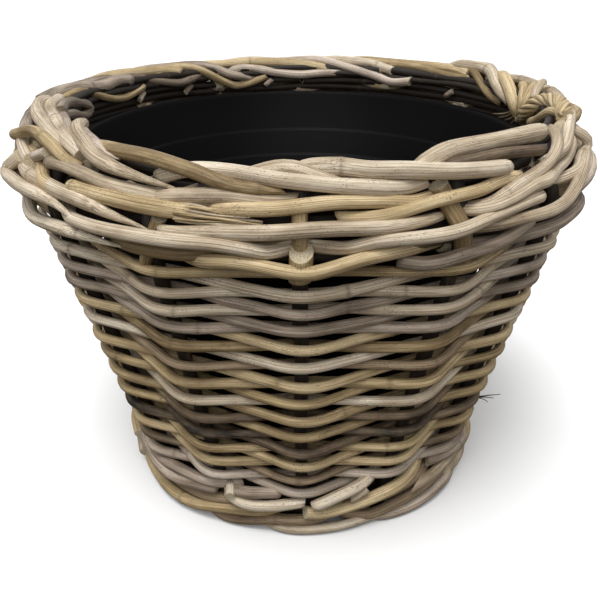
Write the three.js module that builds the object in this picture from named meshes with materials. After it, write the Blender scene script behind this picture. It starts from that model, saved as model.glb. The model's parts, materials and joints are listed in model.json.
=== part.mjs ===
// Rattan planter basket with a lift-out liner pot.
// Millimetres, +Z up. The basket stands on Z = 0 with its axis on Z. The front is towards -Y.
// Fourteen straight uprights stand in a cone. Rods are woven round them in rows, a rolled border of
// short rods closes the top, and rods in threes that pass outside two uprights and inside one make
// the foot and the thick bands at the bottom and top of the wall.
import * as THREE from "three";

// Driving sizes of the basket
const BASKET_HEIGHT = 300;
const WALL_RADIUS_AT_GROUND = 130;
const WALL_SLOPE = 0.27;
const UPRIGHT_PAIRS = 7;
const UPRIGHT_DIAMETER = 9;
const UPRIGHT_BOTTOM = 2;
const WEAVER_DIAMETER = 6.6;
const WEAVER_SPACING = 0.9;
const WEAVER_BEND_RUN = 1;
const WEAVERS_PER_SET = 5;
const UPSETT_DIAMETER = 9;
const WALE_DIAMETER = 9;
const WALE_LEVELS = 2;
const BORDER_DIAMETER = 9.6;
const BORDER_RING_RADIUS = 187;
const BAYS_PER_BORDER_ROD = 3;
const BAYS_PER_BORDER_END = 0.25;
const UPRIGHT_TOP_CLEARANCE = 1.6;
const FOOT_DIAMETER = 10.4;
const FOOT_BULGE = 2;
const FOOT_FLAT_DEPTH = 1.5;
const BASE_STICK_DIAMETER = 9;
const BASE_STICK_OFFSET = 42;
const BASE_MAT_THICKNESS = 6;
const BASE_GROUND_CLEARANCE = 1;
const END_GAP = 2.4;
const BEND_ALLOWANCE = 1.06;
const SKEW_ALLOWANCE = 1.1;
const GAP = 0.3;

// Driving sizes of the liner pot
const LINER_RIM_DROP = 29;
const LINER_RIM_CLEARANCE = 2;
const LINER_FLOOR_CLEARANCE = 12;
const LINER_LIP_WIDTH = 3;
const LINER_LIP_DEPTH = 4;
const LINER_WALL = 1.8;
const LINER_STEP_WIDTH = 1.2;
const LINER_STEP_DROPS = [35, 54];
const LINER_STEP_HEIGHT = 2;

// How finely round sections are cut into flats
const THIN_ROD_SIDES = 5;
const THICK_ROD_SIDES = 6;
const LINER_SIDES = 42;
const MAT_SIDES = 28;
const BORDER_STEPS_PER_BAY = 4;

// Sizes worked out from the driving sizes
const uprightCount = 2 * UPRIGHT_PAIRS;
const bayAngle = (2 * Math.PI) / uprightCount;
const uprightRadius = UPRIGHT_DIAMETER / 2;
const weaverRadius = WEAVER_DIAMETER / 2;
const upsettRadius = UPSETT_DIAMETER / 2;
const waleRadius = WALE_DIAMETER / 2;
const borderRadius = BORDER_DIAMETER / 2;
const footRadius = FOOT_DIAMETER / 2;
const stickRadius = BASE_STICK_DIAMETER / 2;
const hexagonFlat = Math.cos(Math.PI / THICK_ROD_SIDES);

// The border is a roll of rods that lie side by side on a circle round the upright's top end.
const borderSpread = Math.PI / BAYS_PER_BORDER_ROD;
const besideUpright = (uprightRadius + borderRadius + GAP) * BEND_ALLOWANCE;
const besideEachOther = (borderRadius + GAP / 2) / Math.sin(borderSpread / 2);
const rollRadius = Math.max(besideUpright, besideEachOther);
const rollCentre = BASKET_HEIGHT - rollRadius - borderRadius;
const rollBottom = rollCentre - rollRadius * Math.sin(BAYS_PER_BORDER_END * borderSpread) - borderRadius;
const borderUnderside = rollCentre + rollRadius * Math.sin(borderSpread) - borderRadius;
const uprightTop = borderUnderside - UPRIGHT_TOP_CLEARANCE;

// In a band of three rods, two rods lie one above the other outside every upright.
function bandStack(rodRadius) {
  return (rodRadius + GAP / 2) * SKEW_ALLOWANCE;
}

function bandHalfHeight(rodRadius) {
  return bandStack(rodRadius) + rodRadius;
}

// Heights of the bands and rows
const footHeight = bandHalfHeight(footRadius) - FOOT_FLAT_DEPTH;
const footTop = footHeight + bandHalfHeight(footRadius);
const upsettHeight = footTop + GAP + bandHalfHeight(upsettRadius);
const waleLevelHeight = 2 * bandHalfHeight(waleRadius) + GAP;
const topWale = rollBottom - GAP - bandHalfHeight(waleRadius);
const firstWale = topWale - (WALE_LEVELS - 1) * waleLevelHeight;
const leanStart = firstWale + waleLevelHeight / 2;
const firstRow = upsettHeight + bandHalfHeight(upsettRadius) + GAP + weaverRadius;
const lastRow = firstWale - bandHalfHeight(waleRadius) - GAP - weaverRadius;
const rowCount = Math.floor((lastRow - firstRow) / (WEAVER_DIAMETER + WEAVER_SPACING)) + 1;
const rowPitch = (lastRow - firstRow) / (rowCount - 1);

// The uprights follow the cone, then lean in to the middle of the rolled border.
const leanRadius = WALL_RADIUS_AT_GROUND + WALL_SLOPE * leanStart;
const leanSlope = (BORDER_RING_RADIUS - leanRadius) / (rollCentre - leanStart);

function wallSlope(height) {
  return height > leanStart ? leanSlope : WALL_SLOPE;
}

function wallRadius(height) {
  if (height > leanStart) {
    return leanRadius + leanSlope * (height - leanStart);
  }
  return WALL_RADIUS_AT_GROUND + WALL_SLOPE * height;
}

// A place at a bay number (whole numbers are uprights, counted from the back) and a radius.
function polar(bay, radius, height) {
  const angle = bay * bayAngle + Math.PI;
  return new THREE.Vector3(radius * Math.sin(angle), -radius * Math.cos(angle), height);
}

// A place on the wall, moved up along it, then outwards so far that a level rod there lies the
// stated distance from the middle of an upright.
function wallPoint(bay, height, outwards, upwards = 0) {
  const there = height + upwards;
  const radius = wallRadius(there) + outwards * Math.hypot(1, wallSlope(there));
  return polar(bay, radius, there);
}

function material(colour, roughness, metalness = 0) {
  return new THREE.MeshStandardMaterial({ color: colour, roughness, metalness });
}

const paleRattan = material(0xb7a284, 0.72);
const goldRattan = material(0xa98d62, 0.7);
const greyRattan = material(0x96897b, 0.75);
const darkRattan = material(0x7d6c57, 0.78);
const blackPlastic = material(0x101011, 0.38);

// A rod with a regular flat-sided section along a path, closed by a flat at each end.
function rodGeometry(path, radius, sides, lowest = -Infinity) {
  const positions = [];
  const triangles = [];
  const tangent = new THREE.Vector3();
  const outward = new THREE.Vector3();
  const upward = new THREE.Vector3();
  path.forEach((point, step) => {
    const before = path[Math.max(step - 1, 0)];
    const after = path[Math.min(step + 1, path.length - 1)];
    const arriving = point.clone().sub(before).normalize();
    const leaving = after.clone().sub(point).normalize();
    tangent.copy(arriving).add(leaving).normalize();
    outward.set(point.x, point.y, 0);
    if (outward.length() < 1e-6 || Math.abs(tangent.dot(outward.clone().normalize())) > 0.99) {
      outward.set(-tangent.y, tangent.x, 0);
    }
    outward.addScaledVector(tangent, -outward.dot(tangent)).normalize();
    upward.crossVectors(outward, tangent).normalize();
    for (let side = 0; side < sides; side += 1) {
      const turn = ((side + 0.5) / sides) * 2 * Math.PI - Math.PI / 2;
      const corner = point.clone();
      corner.addScaledVector(outward, radius * Math.cos(turn));
      corner.addScaledVector(upward, radius * Math.sin(turn));
      positions.push(corner.x, corner.y, Math.max(corner.z, lowest));
    }
  });
  for (let step = 0; step + 1 < path.length; step += 1) {
    for (let side = 0; side < sides; side += 1) {
      const a = step * sides + side;
      const b = step * sides + ((side + 1) % sides);
      triangles.push(a, a + sides, b, b, a + sides, b + sides);
    }
  }
  const last = (path.length - 1) * sides;
  for (let side = 1; side + 1 < sides; side += 1) {
    triangles.push(0, side, side + 1);
    triangles.push(last, last + side + 1, last + side);
  }
  const geometry = new THREE.BufferGeometry();
  geometry.setAttribute("position", new THREE.Float32BufferAttribute(positions, 3));
  geometry.setIndex(triangles);
  geometry.computeVertexNormals();
  return geometry;
}

const basket = new THREE.Group();

function addMesh(name, geometry, look) {
  const mesh = new THREE.Mesh(geometry, look);
  mesh.name = name;
  basket.add(mesh);
}

function twoDigits(number) {
  return String(number).padStart(2, "0");
}

// Where a rod that is outside one upright and inside the next bends round an upright.
function bendRound(path, bay, height, rodRadius, outside) {
  const reach = uprightRadius + rodRadius + GAP;
  if (!outside) {
    path.push(wallPoint(bay, height, -reach));
    return;
  }
  const halfWidth = (uprightRadius + WEAVER_BEND_RUN) / (wallRadius(height) * bayAngle);
  path.push(wallPoint(bay - halfWidth, height, reach));
  path.push(wallPoint(bay + halfWidth, height, reach));
}

// Shortens a path at both ends, so that a rod stops short of the next one.
function trimEnds(path, length) {
  path[0].add(path[1].clone().sub(path[0]).setLength(length));
  path.at(-1).add(path.at(-2).clone().sub(path.at(-1)).setLength(length));
}

// Uprights
function addUprights() {
  for (let number = 0; number < uprightCount; number += 1) {
    const heights = [UPRIGHT_BOTTOM, leanStart, uprightTop];
    const path = heights.map((height) => polar(number, wallRadius(height), height));
    const upright = rodGeometry(path, uprightRadius, THICK_ROD_SIDES);
    addMesh(`upright_${twoDigits(number + 1)}`, upright, darkRattan);
  }
}

// Height of a weaver: level all round but for the last bay at the back, where it climbs two rows.
function rowHeight(startRow, bay) {
  const turn = Math.floor(bay / uprightCount);
  const climb = Math.max(bay - turn * uprightCount - (uprightCount - 1), 0);
  return firstRow + rowPitch * (startRow + 2 * (turn + climb));
}

// One of the two sets of weavers. A set passes outside every second upright, and the other set
// takes the uprights between. Each rod starts and ends behind an upright.
function addWeaverSet(letter, startRow, firstUpright, look) {
  const turns = Math.floor((rowCount - startRow + 1) / 2);
  const lastUpright = turns * uprightCount - (firstUpright === 1 ? 1 : 2);
  const length = (lastUpright - firstUpright) / WEAVERS_PER_SET;
  const joints = [];
  for (let rod = 0; rod <= WEAVERS_PER_SET; rod += 1) {
    joints.push(firstUpright + 2 * Math.round((rod * length) / 2));
  }
  for (let rod = 0; rod < WEAVERS_PER_SET; rod += 1) {
    const path = [];
    for (let bay = joints[rod]; bay <= joints[rod + 1]; bay += 1) {
      const outside = (bay - firstUpright) % 2 === 1;
      bendRound(path, bay, rowHeight(startRow, bay), weaverRadius, outside);
    }
    trimEnds(path, 2 * GAP);
    addMesh(`weaver_${letter}_${rod + 1}`, rodGeometry(path, weaverRadius, THIN_ROD_SIDES), look);
  }
}

// A band of three rods. Each rod passes outside two uprights and inside the third, comes out above
// the others and goes in below them. Its ends meet the ends of the band's rods at the back.
function addBand(name, height, rodRadius, looks, bulge = 0, lowest = -Infinity) {
  const inside = uprightRadius + rodRadius + GAP;
  const outside = inside * BEND_ALLOWANCE + bulge;
  const stack = bandStack(rodRadius);
  const chord = wallRadius(height) * (1 - Math.cos(bayAngle / 2));
  const halfBays = [
    [-inside, 0],
    [-chord, stack],
    [outside, stack],
    [outside + rodRadius / 3, 0],
    [outside, -stack],
    [-chord, -stack],
  ];
  looks.forEach((look, strand) => {
    const path = [];
    for (let half = 0; half <= 2 * uprightCount; half += 1) {
      const [outwards, upwards] = halfBays[(half + 2 * strand) % halfBays.length];
      path.push(wallPoint(half / 2, height, outwards, upwards));
    }
    trimEnds(path, END_GAP);
    addMesh(`${name}_${"abc"[strand]}`, rodGeometry(path, rodRadius, THICK_ROD_SIDES, lowest), look);
  });
}

// The foot is such a band that stands out further and is flat where it meets the ground.
function addBands() {
  addBand("foot_rod", footHeight, footRadius, [greyRattan, paleRattan, darkRattan], FOOT_BULGE, 0);
  addBand("upsett_rod", upsettHeight, upsettRadius, [paleRattan, goldRattan, greyRattan]);
  for (let level = 0; level < WALE_LEVELS; level += 1) {
    const height = firstWale + level * waleLevelHeight;
    addBand(`wale_rod_${level + 1}`, height, waleRadius, [paleRattan, greyRattan, goldRattan]);
  }
}

// Rolled border: each rod starts inside an upright, climbs over the top and comes down outside.
function addBorder() {
  const borderLength = BAYS_PER_BORDER_ROD + 2 * BAYS_PER_BORDER_END;
  const borderSteps = Math.round(borderLength * BORDER_STEPS_PER_BAY);
  for (let number = 0; number < uprightCount; number += 1) {
    const path = [];
    for (let step = 0; step <= borderSteps; step += 1) {
      const along = (step / borderSteps) * borderLength - BAYS_PER_BORDER_END;
      const turn = Math.PI - along * borderSpread;
      const radius = BORDER_RING_RADIUS + rollRadius * Math.cos(turn);
      path.push(polar(number + along, radius, rollCentre + rollRadius * Math.sin(turn)));
    }
    const look = number % 3 === 1 ? goldRattan : paleRattan;
    addMesh(`border_rod_${twoDigits(number + 1)}`, rodGeometry(path, borderRadius, THICK_ROD_SIDES), look);
  }
}

// Base: a woven mat held between two sticks below it and two sticks across them above it
const matBottom = BASE_GROUND_CLEARANCE + 2 * stickRadius * hexagonFlat + GAP;
const matTop = matBottom + BASE_MAT_THICKNESS;
const upperStickCentre = matTop + GAP + stickRadius * hexagonFlat;
const linerBottom = upperStickCentre + stickRadius * hexagonFlat + GAP;

function addBase() {
  const footThickness = (uprightRadius + FOOT_DIAMETER + 2 * GAP) * Math.hypot(1, WALL_SLOPE);
  const matRadius = wallRadius(footHeight) - footThickness;
  const profile = [
    new THREE.Vector2(0, matBottom),
    new THREE.Vector2(matRadius, matBottom),
    new THREE.Vector2(matRadius, matTop),
    new THREE.Vector2(0, matTop),
  ];
  const mat = new THREE.LatheGeometry(profile, MAT_SIDES).rotateX(Math.PI / 2);
  addMesh("base_mat", mat, darkRattan);

  const lowerCentre = BASE_GROUND_CLEARANCE + stickRadius * hexagonFlat;
  const half = Math.sqrt(matRadius ** 2 - (BASE_STICK_OFFSET + stickRadius) ** 2);
  [-1, 1].forEach((side, index) => {
    const across = side * BASE_STICK_OFFSET;
    const lower = [-half, half].map((x) => new THREE.Vector3(x, across, lowerCentre));
    const upper = [-half, half].map((y) => new THREE.Vector3(across, y, upperStickCentre));
    addMesh(`base_stick_lower_${index + 1}`, straightStick(lower), darkRattan);
    addMesh(`base_stick_upper_${index + 1}`, straightStick(upper), darkRattan);
  });
}

// A level six-sided stick that lies on a flat side
function straightStick([from, to]) {
  const shape = new THREE.Shape();
  for (let side = 0; side < THICK_ROD_SIDES; side += 1) {
    const turn = (side / THICK_ROD_SIDES) * 2 * Math.PI;
    const x = stickRadius * Math.cos(turn);
    const y = stickRadius * Math.sin(turn);
    if (side === 0) {
      shape.moveTo(x, y);
    } else {
      shape.lineTo(x, y);
    }
  }
  const length = from.distanceTo(to);
  const geometry = new THREE.ExtrudeGeometry(shape, { depth: length, bevelEnabled: false });
  geometry.translate(0, 0, -length / 2).rotateX(Math.PI / 2);
  if (Math.abs(to.x - from.x) > Math.abs(to.y - from.y)) {
    geometry.rotateZ(Math.PI / 2);
  }
  const middle = from.clone().add(to).multiplyScalar(0.5);
  return geometry.translate(middle.x, middle.y, middle.z);
}

// Liner pot: a thin black shell with a lip at the rim and two steps round its wall. It lifts out
// past the border's rods, and hangs clear of the waling at the rim and of the upsett at the floor.
const linerRimHeight = BASKET_HEIGHT - LINER_RIM_DROP;
const insideOfBorder = BORDER_RING_RADIUS - rollRadius - borderRadius;
const linerRimRadius = Math.min(insideOfBorder, insideOfBand(topWale, waleRadius)) - LINER_RIM_CLEARANCE;
const linerFloorRadius = insideOfBand(upsettHeight, upsettRadius) - LINER_FLOOR_CLEARANCE;

// Radius that stays clear inside a band of three rods
function insideOfBand(height, rodRadius) {
  const thickness = uprightRadius + GAP + 2 * rodRadius;
  return wallRadius(height) - thickness * Math.hypot(1, wallSlope(height));
}

function addLiner() {
  const rimInner = linerRimRadius - LINER_LIP_WIDTH;
  const drop = linerRimHeight - linerBottom;
  const steps = LINER_STEP_DROPS.length;
  const taper = (rimInner - linerFloorRadius - steps * LINER_STEP_WIDTH) / drop;
  const outside = [];
  let radius = rimInner;
  let height = linerRimHeight - LINER_LIP_DEPTH;
  outside.push([radius, height]);
  LINER_STEP_DROPS.forEach((below) => {
    const stepTop = linerRimHeight - below;
    radius -= taper * (height - stepTop);
    outside.push([radius, stepTop]);
    radius -= LINER_STEP_WIDTH;
    height = stepTop - LINER_STEP_HEIGHT;
    outside.push([radius, height]);
  });
  outside.push([radius - taper * (height - linerBottom), linerBottom]);
  const inside = outside.slice(0, -1).map(([r, z]) => [r - LINER_WALL, z + LINER_WALL / 2]);
  const floorRadius = outside.at(-1)[0] - LINER_WALL;
  const profile = [
    [0, linerBottom],
    outside.at(-1),
    ...outside.slice(0, -1).reverse(),
    [linerRimRadius, linerRimHeight - LINER_LIP_DEPTH],
    [linerRimRadius, linerRimHeight],
    [rimInner - LINER_WALL, linerRimHeight],
    ...inside,
    [floorRadius, linerBottom + LINER_WALL],
    [0, linerBottom + LINER_WALL],
  ].map(([r, z]) => new THREE.Vector2(r, z));
  addMesh("liner_pot", new THREE.LatheGeometry(profile, LINER_SIDES).rotateX(Math.PI / 2), blackPlastic);
}

addUprights();
addBands();
addWeaverSet("a", 1, 1, goldRattan);
addWeaverSet("b", 0, 0, greyRattan);
addBorder();
addBase();
addLiner();

export default basket;
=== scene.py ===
# %% [markdown]
# A rattan planter basket with a black liner pot that lifts out.
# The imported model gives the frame: where every rod of the basket lies and what moves. On a real
# basket each rod is a slightly crooked stick of weathered rattan with its own thickness, colour,
# knots and cut ends. The model's even tubes can't show that, so this script sweeps rods of its
# own where they lie, and each one stands for the tube it replaces. Everything is in metres, +Z up.

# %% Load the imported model
import json
import math
import bpy
import numpy as np
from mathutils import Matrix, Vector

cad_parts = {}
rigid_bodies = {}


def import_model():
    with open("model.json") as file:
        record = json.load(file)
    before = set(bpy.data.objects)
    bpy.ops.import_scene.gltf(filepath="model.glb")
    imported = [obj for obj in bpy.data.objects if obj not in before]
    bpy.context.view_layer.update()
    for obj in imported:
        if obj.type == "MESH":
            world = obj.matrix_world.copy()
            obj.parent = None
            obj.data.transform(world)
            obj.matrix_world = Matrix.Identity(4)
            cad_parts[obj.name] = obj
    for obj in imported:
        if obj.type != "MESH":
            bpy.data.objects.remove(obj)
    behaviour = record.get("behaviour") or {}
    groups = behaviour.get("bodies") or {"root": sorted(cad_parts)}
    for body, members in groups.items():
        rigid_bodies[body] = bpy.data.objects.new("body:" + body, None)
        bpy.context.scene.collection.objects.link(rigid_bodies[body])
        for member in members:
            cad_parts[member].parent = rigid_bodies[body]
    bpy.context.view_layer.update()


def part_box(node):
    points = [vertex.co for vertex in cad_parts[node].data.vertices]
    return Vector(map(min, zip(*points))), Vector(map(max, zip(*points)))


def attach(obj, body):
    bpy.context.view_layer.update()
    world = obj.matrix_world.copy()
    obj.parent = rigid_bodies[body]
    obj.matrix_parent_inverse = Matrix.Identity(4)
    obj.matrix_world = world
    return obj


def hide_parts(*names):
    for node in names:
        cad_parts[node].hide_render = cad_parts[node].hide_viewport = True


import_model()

# %% [markdown]
# The camera comes first.
# It stands a little over half a metre from the middle of the basket and looks down by 27 degrees.
# That is close, so the near wall looks larger than the far rim, and a longer lens from further
# away couldn't show it. The values come from fitting a plain camera to the basket's outline in a
# square frame of 600 by 600 pixels, where the focal length is 708 pixels.

# %% Camera at the photograph's viewing angle
FRAME_PIXELS = 600
FOCAL_PIXELS = 708
MIDDLE_PIXEL_X = 302.2
SENSOR_WIDTH_MM = 36.0
CAMERA_DISTANCE = 0.544
CAMERA_HEIGHT = 0.398
CAMERA_PITCH = 0.464
NEAREST_SEEN = 0.01


def add_object(name, data):
    """Puts a camera, a lamp or a mesh into the scene."""
    made = bpy.data.objects.new(name, data)
    bpy.context.collection.objects.link(made)
    return made


camera_data = bpy.data.cameras.new("photo_camera")
camera_data.sensor_width = SENSOR_WIDTH_MM
camera_data.lens = FOCAL_PIXELS / FRAME_PIXELS * SENSOR_WIDTH_MM
camera_data.shift_x = -(MIDDLE_PIXEL_X - FRAME_PIXELS / 2) / FRAME_PIXELS
camera_data.clip_start = NEAREST_SEEN
camera = add_object("photo_camera", camera_data)
camera.location = (0.0, -CAMERA_DISTANCE, CAMERA_HEIGHT)
camera.rotation_euler = (math.pi / 2 - CAMERA_PITCH, 0.0, 0.0)
bpy.context.scene.camera = camera
bpy.context.scene.view_settings.view_transform = "Standard"
print("lens", round(camera_data.lens, 2), "mm")

# %% [markdown]
# A material could be wired up node by node, but shader maths is easier to read as ordinary
# Python. This small class wraps a socket: adding, subtracting or multiplying wrapped values adds
# the Math node that does it, also when a plain number comes first.

# %% A socket that understands + - and *
class Value:
    """One output socket in the nodes of a paint."""

    def __init__(self, paint, socket):
        self.paint = paint
        self.socket = socket

    def math(self, operation, first, second):
        return self.paint.node("ShaderNodeMath", {"operation": operation}, {0: first, 1: second})

    def __add__(self, other):
        return self.math("ADD", self, other)

    def __radd__(self, other):
        return self.math("ADD", other, self)

    def __sub__(self, other):
        return self.math("SUBTRACT", self, other)

    def __rsub__(self, other):
        return self.math("SUBTRACT", other, self)

    def __mul__(self, other):
        return self.math("MULTIPLY", self, other)

    def __rmul__(self, other):
        return self.math("MULTIPLY", other, self)


print("sockets can be added and multiplied")

# %% [markdown]
# Every node of a material or of the sky comes from `Paint.node`. It takes the node's type, its
# settings, and what goes into its sockets: a plain value, or another socket to link. The other
# methods are short names for the nodes that the finishes below need more than once.

# %% Paints and their nodes
class Paint:
    """A material or a sky, and the nodes in it."""

    def __init__(self, owner):
        self.owner = owner
        owner.use_nodes = True
        self.tree = owner.node_tree
        self.tree.nodes.clear()

    def node(self, kind, settings, given, output=0):
        """Adds a node: its settings first, then the values or links of its sockets."""
        made = self.tree.nodes.new(kind)
        for key, setting in settings.items():
            if key == "stops":
                self.set_stops(made.color_ramp, setting)
            else:
                setattr(made, key, setting)
        for key, value in given.items():
            if isinstance(value, Value):
                self.tree.links.new(value.socket, made.inputs[key])
            else:
                made.inputs[key].default_value = value
        return Value(self, made.outputs[output]) if made.outputs else None

    def set_stops(self, ramp, stops):
        """Gives a colour ramp as many stops as are named."""
        while len(ramp.elements) < len(stops):
            ramp.elements.new(0.5)
        for element, (place, colour) in zip(ramp.elements, stops):
            element.position = place
            element.color = (*colour, 1.0)

    def stored(self, name, output):
        """A value that the mesh stores on its points, read as a "Vector" or as a number, "Fac"."""
        return self.node("ShaderNodeAttribute", {"attribute_name": name}, {}, output)

    def mix(self, amount, first, second, blend="MIX"):
        """Mixes two colours, which are sockets 6 and 7 of the node, by an amount from 0 to 1."""
        settings = {"data_type": "RGBA", "blend_type": blend}
        return self.node("ShaderNodeMix", settings, {0: amount, 6: first, 7: second}, 2)

    def steps(self, value, none_at, full_at):
        """0 where the value is none_at, 1 where it is full_at, and smooth between them."""
        settings = {"interpolation_type": "SMOOTHSTEP"}
        return self.node("ShaderNodeMapRange", settings, {0: value, 1: none_at, 2: full_at})

    def ramp(self, value, stops):
        """A colour that runs through the stops, each a place from 0 to 1 and a colour."""
        return self.node("ShaderNodeValToRGB", {"stops": stops}, {0: value})

    def stretched(self, place, scales):
        return self.node("ShaderNodeVectorMath", {"operation": "MULTIPLY"}, {0: place, 1: scales})

    def noise(self, place, scales, detail, roughness=0.5):
        """Noise with so many patches to the metre along each axis of the place."""
        given = {"Vector": self.stretched(place, scales), "Scale": 1.0}
        return self.node("ShaderNodeTexNoise", {}, {**given, "Detail": detail, "Roughness": roughness})

    def bump(self, height, strength, distance):
        """Bends the light as if the surface rose by the height, times a distance in metres."""
        given = {"Strength": strength, "Distance": distance, "Height": height}
        return self.node("ShaderNodeBump", {}, given)

    def finish(self, given):
        """Ends a material in one Principled shader."""
        shader = self.node("ShaderNodeBsdfPrincipled", {}, given)
        self.node("ShaderNodeOutputMaterial", {}, {0: shader})
        return self.owner


print("paints ready")

# %% [markdown]
# The photograph was cut out on white, so the basket stands on a plain pale floor under an even
# sky. To the camera the sky is plain white and the floor pale. To the basket the sky gives little
# light and the floor gives little back. More light from all round would have made the background
# white too, but it would also fill the dark gaps between the rods.

# %% Floor and sky
WHITE = (1.0, 1.0, 1.0, 1.0)
FLOOR_COLOUR = (0.96, 0.96, 0.96, 1.0)
FLOOR_BOUNCE = (0.05, 0.042, 0.034, 1.0)
FLOOR_REACH = 6.0
SKY_LIGHT = 0.09
SKY_TO_CAMERA = 1.0

floor_mesh = bpy.data.meshes.new("floor")
floor_corners = [(x * FLOOR_REACH, y * FLOOR_REACH, 0.0) for x, y in [(-1, -1), (1, -1), (1, 1), (-1, 1)]]
floor_mesh.from_pydata(floor_corners, [], [(0, 1, 2, 3)])
floor = add_object("floor", floor_mesh)

floor_paint = Paint(bpy.data.materials.new("floor_paint"))
seen_by_camera = floor_paint.node("ShaderNodeLightPath", {}, {}, "Is Camera Ray")
floor_look = floor_paint.mix(seen_by_camera, FLOOR_BOUNCE, FLOOR_COLOUR)
floor_mesh.materials.append(floor_paint.finish({"Base Color": floor_look, "Roughness": 0.9}))

sky = Paint(bpy.data.worlds.new("studio_sky"))
seen_by_camera = sky.node("ShaderNodeLightPath", {}, {}, "Is Camera Ray")
strength_range = {"Value": seen_by_camera, "To Min": SKY_LIGHT, "To Max": SKY_TO_CAMERA}
sky_strength = sky.node("ShaderNodeMapRange", {}, strength_range)
background = sky.node("ShaderNodeBackground", {}, {"Color": WHITE, "Strength": sky_strength})
sky.node("ShaderNodeOutputWorld", {}, {0: background})
bpy.context.scene.world = sky.owner
print("floor and sky ready")

# %% [markdown]
# The strong lamp hangs almost overhead, so the upper side of each rod is bright and the gaps are
# dark, as in the photograph. A weaker one in front and three faint ones at the sides and behind
# show the wall. Sun lamps are the simplest kind for this: their light is as strong wherever the
# basket stands, and a wide one gives soft shadows.

# %% Lamps
# Each lamp has a name, a strength, its width and its turns, both in degrees.
LAMPS = [
    ("high_lamp", 2.1, 28, (17, -7, 0)),
    ("front_lamp", 1.45, 70, (50, -6, 0)),
    ("right_lamp", 0.8, 80, (65, 0, 95)),
    ("back_lamp", 0.9, 80, (65, 0, 180)),
    ("left_lamp", 0.8, 80, (65, 0, -95)),
]
for name, strength, width, turns in LAMPS:
    lamp_data = bpy.data.lights.new(name, "SUN")
    lamp_data.energy = strength
    lamp_data.angle = math.radians(width)
    lamp = add_object(name, lamp_data)
    lamp.rotation_euler = [math.radians(turn) for turn in turns]
print("lamps", len(LAMPS))

# %% [markdown]
# Weathered rattan has a thin skin with fine lines along the stick, patches of straw, beige and
# grey, small dark specks, and a darker scar at every knot. A texture that is placed in the room
# would cut straight across a bent rod. So the rod builder below stores on each point where it
# would lie if the rod were straight, and with that place the lines follow every bend. `rod_tone`
# holds one number for the rod, where a higher one is a lighter rod, and `knot` is 1 at a scar.

# %% Rattan skin
DARK_STAIN = (0.085, 0.058, 0.034, 1.0)
SPECK = (0.035, 0.024, 0.015, 1.0)
BLOOM = (1.28, 1.30, 1.34, 1.0)
GROOVE = (0.36, 0.27, 0.18, 1.0)
# How many of each there are to the metre: twice across the rod, then along it.
PATCHES = (90.0, 90.0, 22.0)
LINES = (1900.0, 1900.0, 6.0)
FINE_LINES = (3600.0, 3600.0, 24.0)
MOTTLES = (480.0, 480.0, 190.0)
SPECKS = (1300.0, 1300.0, 1000.0)
SPECK_AREAS = (130.0, 130.0, 45.0)


def rattan_skin(name, light, middle, shade):
    """Skin of one rattan look from its light, middle and shaded colours."""
    paint = Paint(bpy.data.materials.new(name))
    place = paint.stored("rod_place", "Vector")
    # A very low rod_tone, given to the uprights and the inside rods, paints shade on them.
    tone = paint.stored("rod_tone", "Fac")
    knot = paint.stored("knot", "Fac")
    patches = paint.noise(place, PATCHES, detail=4.0, roughness=0.6)
    lines = paint.noise(place, LINES, detail=1.0)
    fine_lines = paint.noise(place, FINE_LINES, detail=2.0, roughness=0.6)
    mottles = paint.noise(place, MOTTLES, detail=4.0, roughness=0.7)
    specks = paint.noise(place, SPECKS, detail=2.0)
    speck_areas = paint.noise(place, SPECK_AREAS, detail=2.0)

    lightness = 1.5 * patches + 0.5 * tone + 0.4 * mottles - 0.70
    colour = paint.ramp(lightness, [(0.18, shade), (0.5, middle), (0.82, light)])
    grooves = paint.steps(lines, none_at=0.54, full_at=0.36)
    colour = paint.mix(0.65 * grooves, colour, GROOVE, "MULTIPLY")
    fine_grooves = paint.steps(fine_lines, none_at=0.5, full_at=0.3)
    colour = paint.mix(0.6 * fine_grooves, colour, GROOVE, "MULTIPLY")
    bloom = paint.steps(mottles, none_at=0.48, full_at=0.28)
    colour = paint.mix(0.6 * bloom, colour, BLOOM, "MULTIPLY")
    stains = paint.steps(mottles, none_at=0.56, full_at=0.74)
    colour = paint.mix(0.5 * stains, colour, DARK_STAIN)
    speckled = paint.steps(speck_areas, none_at=0.47, full_at=0.62)
    dots = speckled * paint.steps(specks, none_at=0.60, full_at=0.68)
    colour = paint.mix(0.8 * dots, colour, SPECK)
    colour = paint.mix(0.45 * knot, colour, DARK_STAIN)
    height = 0.8 * lines + 0.35 * fine_lines - 0.4 * dots + 0.3 * knot + 0.3 * mottles
    return paint.finish({
        "Base Color": colour,
        "Roughness": 0.42 + 0.3 * mottles,
        "Normal": paint.bump(height, strength=0.5, distance=0.0008),
        "Specular IOR Level": 0.4,
    })


PALE = "pale_rattan"
GOLD = "gold_rattan"
GREY = "grey_rattan"
DARK = "dark_rattan"
# The light, middle and shaded colours of each look.
RATTAN_COLOURS = {
    PALE: [(0.81, 0.715, 0.565), (0.58, 0.48, 0.345), (0.29, 0.225, 0.15)],
    GOLD: [(0.73, 0.585, 0.355), (0.51, 0.39, 0.21), (0.26, 0.185, 0.09)],
    GREY: [(0.67, 0.575, 0.475), (0.45, 0.37, 0.295), (0.22, 0.175, 0.13)],
    # The dark look's deepest colour is nearly black; at the lowest tones it is painted shade.
    DARK: [(0.38, 0.285, 0.18), (0.20, 0.145, 0.09), (0.022, 0.015, 0.010)],
}
skins = {look: rattan_skin(look, *colours) for look, colours in RATTAN_COLOURS.items()}
print("rattan skins", sorted(skins))

# %% [markdown]
# Where a rod was cut, its pale inside shows: bundles of fibre with open pores between them. It
# could be a picture laid on the end, but cells and noise at the size of the pores do it too, and
# no two ends are then alike.

# %% Cut ends
CUT_PORES = (1500.0, 1500.0, 600.0)
CUT_SPECKLE = (1700.0, 1700.0, 500.0)
CUT_SHADE = (0.42, 0.33, 0.19)
CUT_LIGHT = (0.80, 0.71, 0.52)


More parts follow.
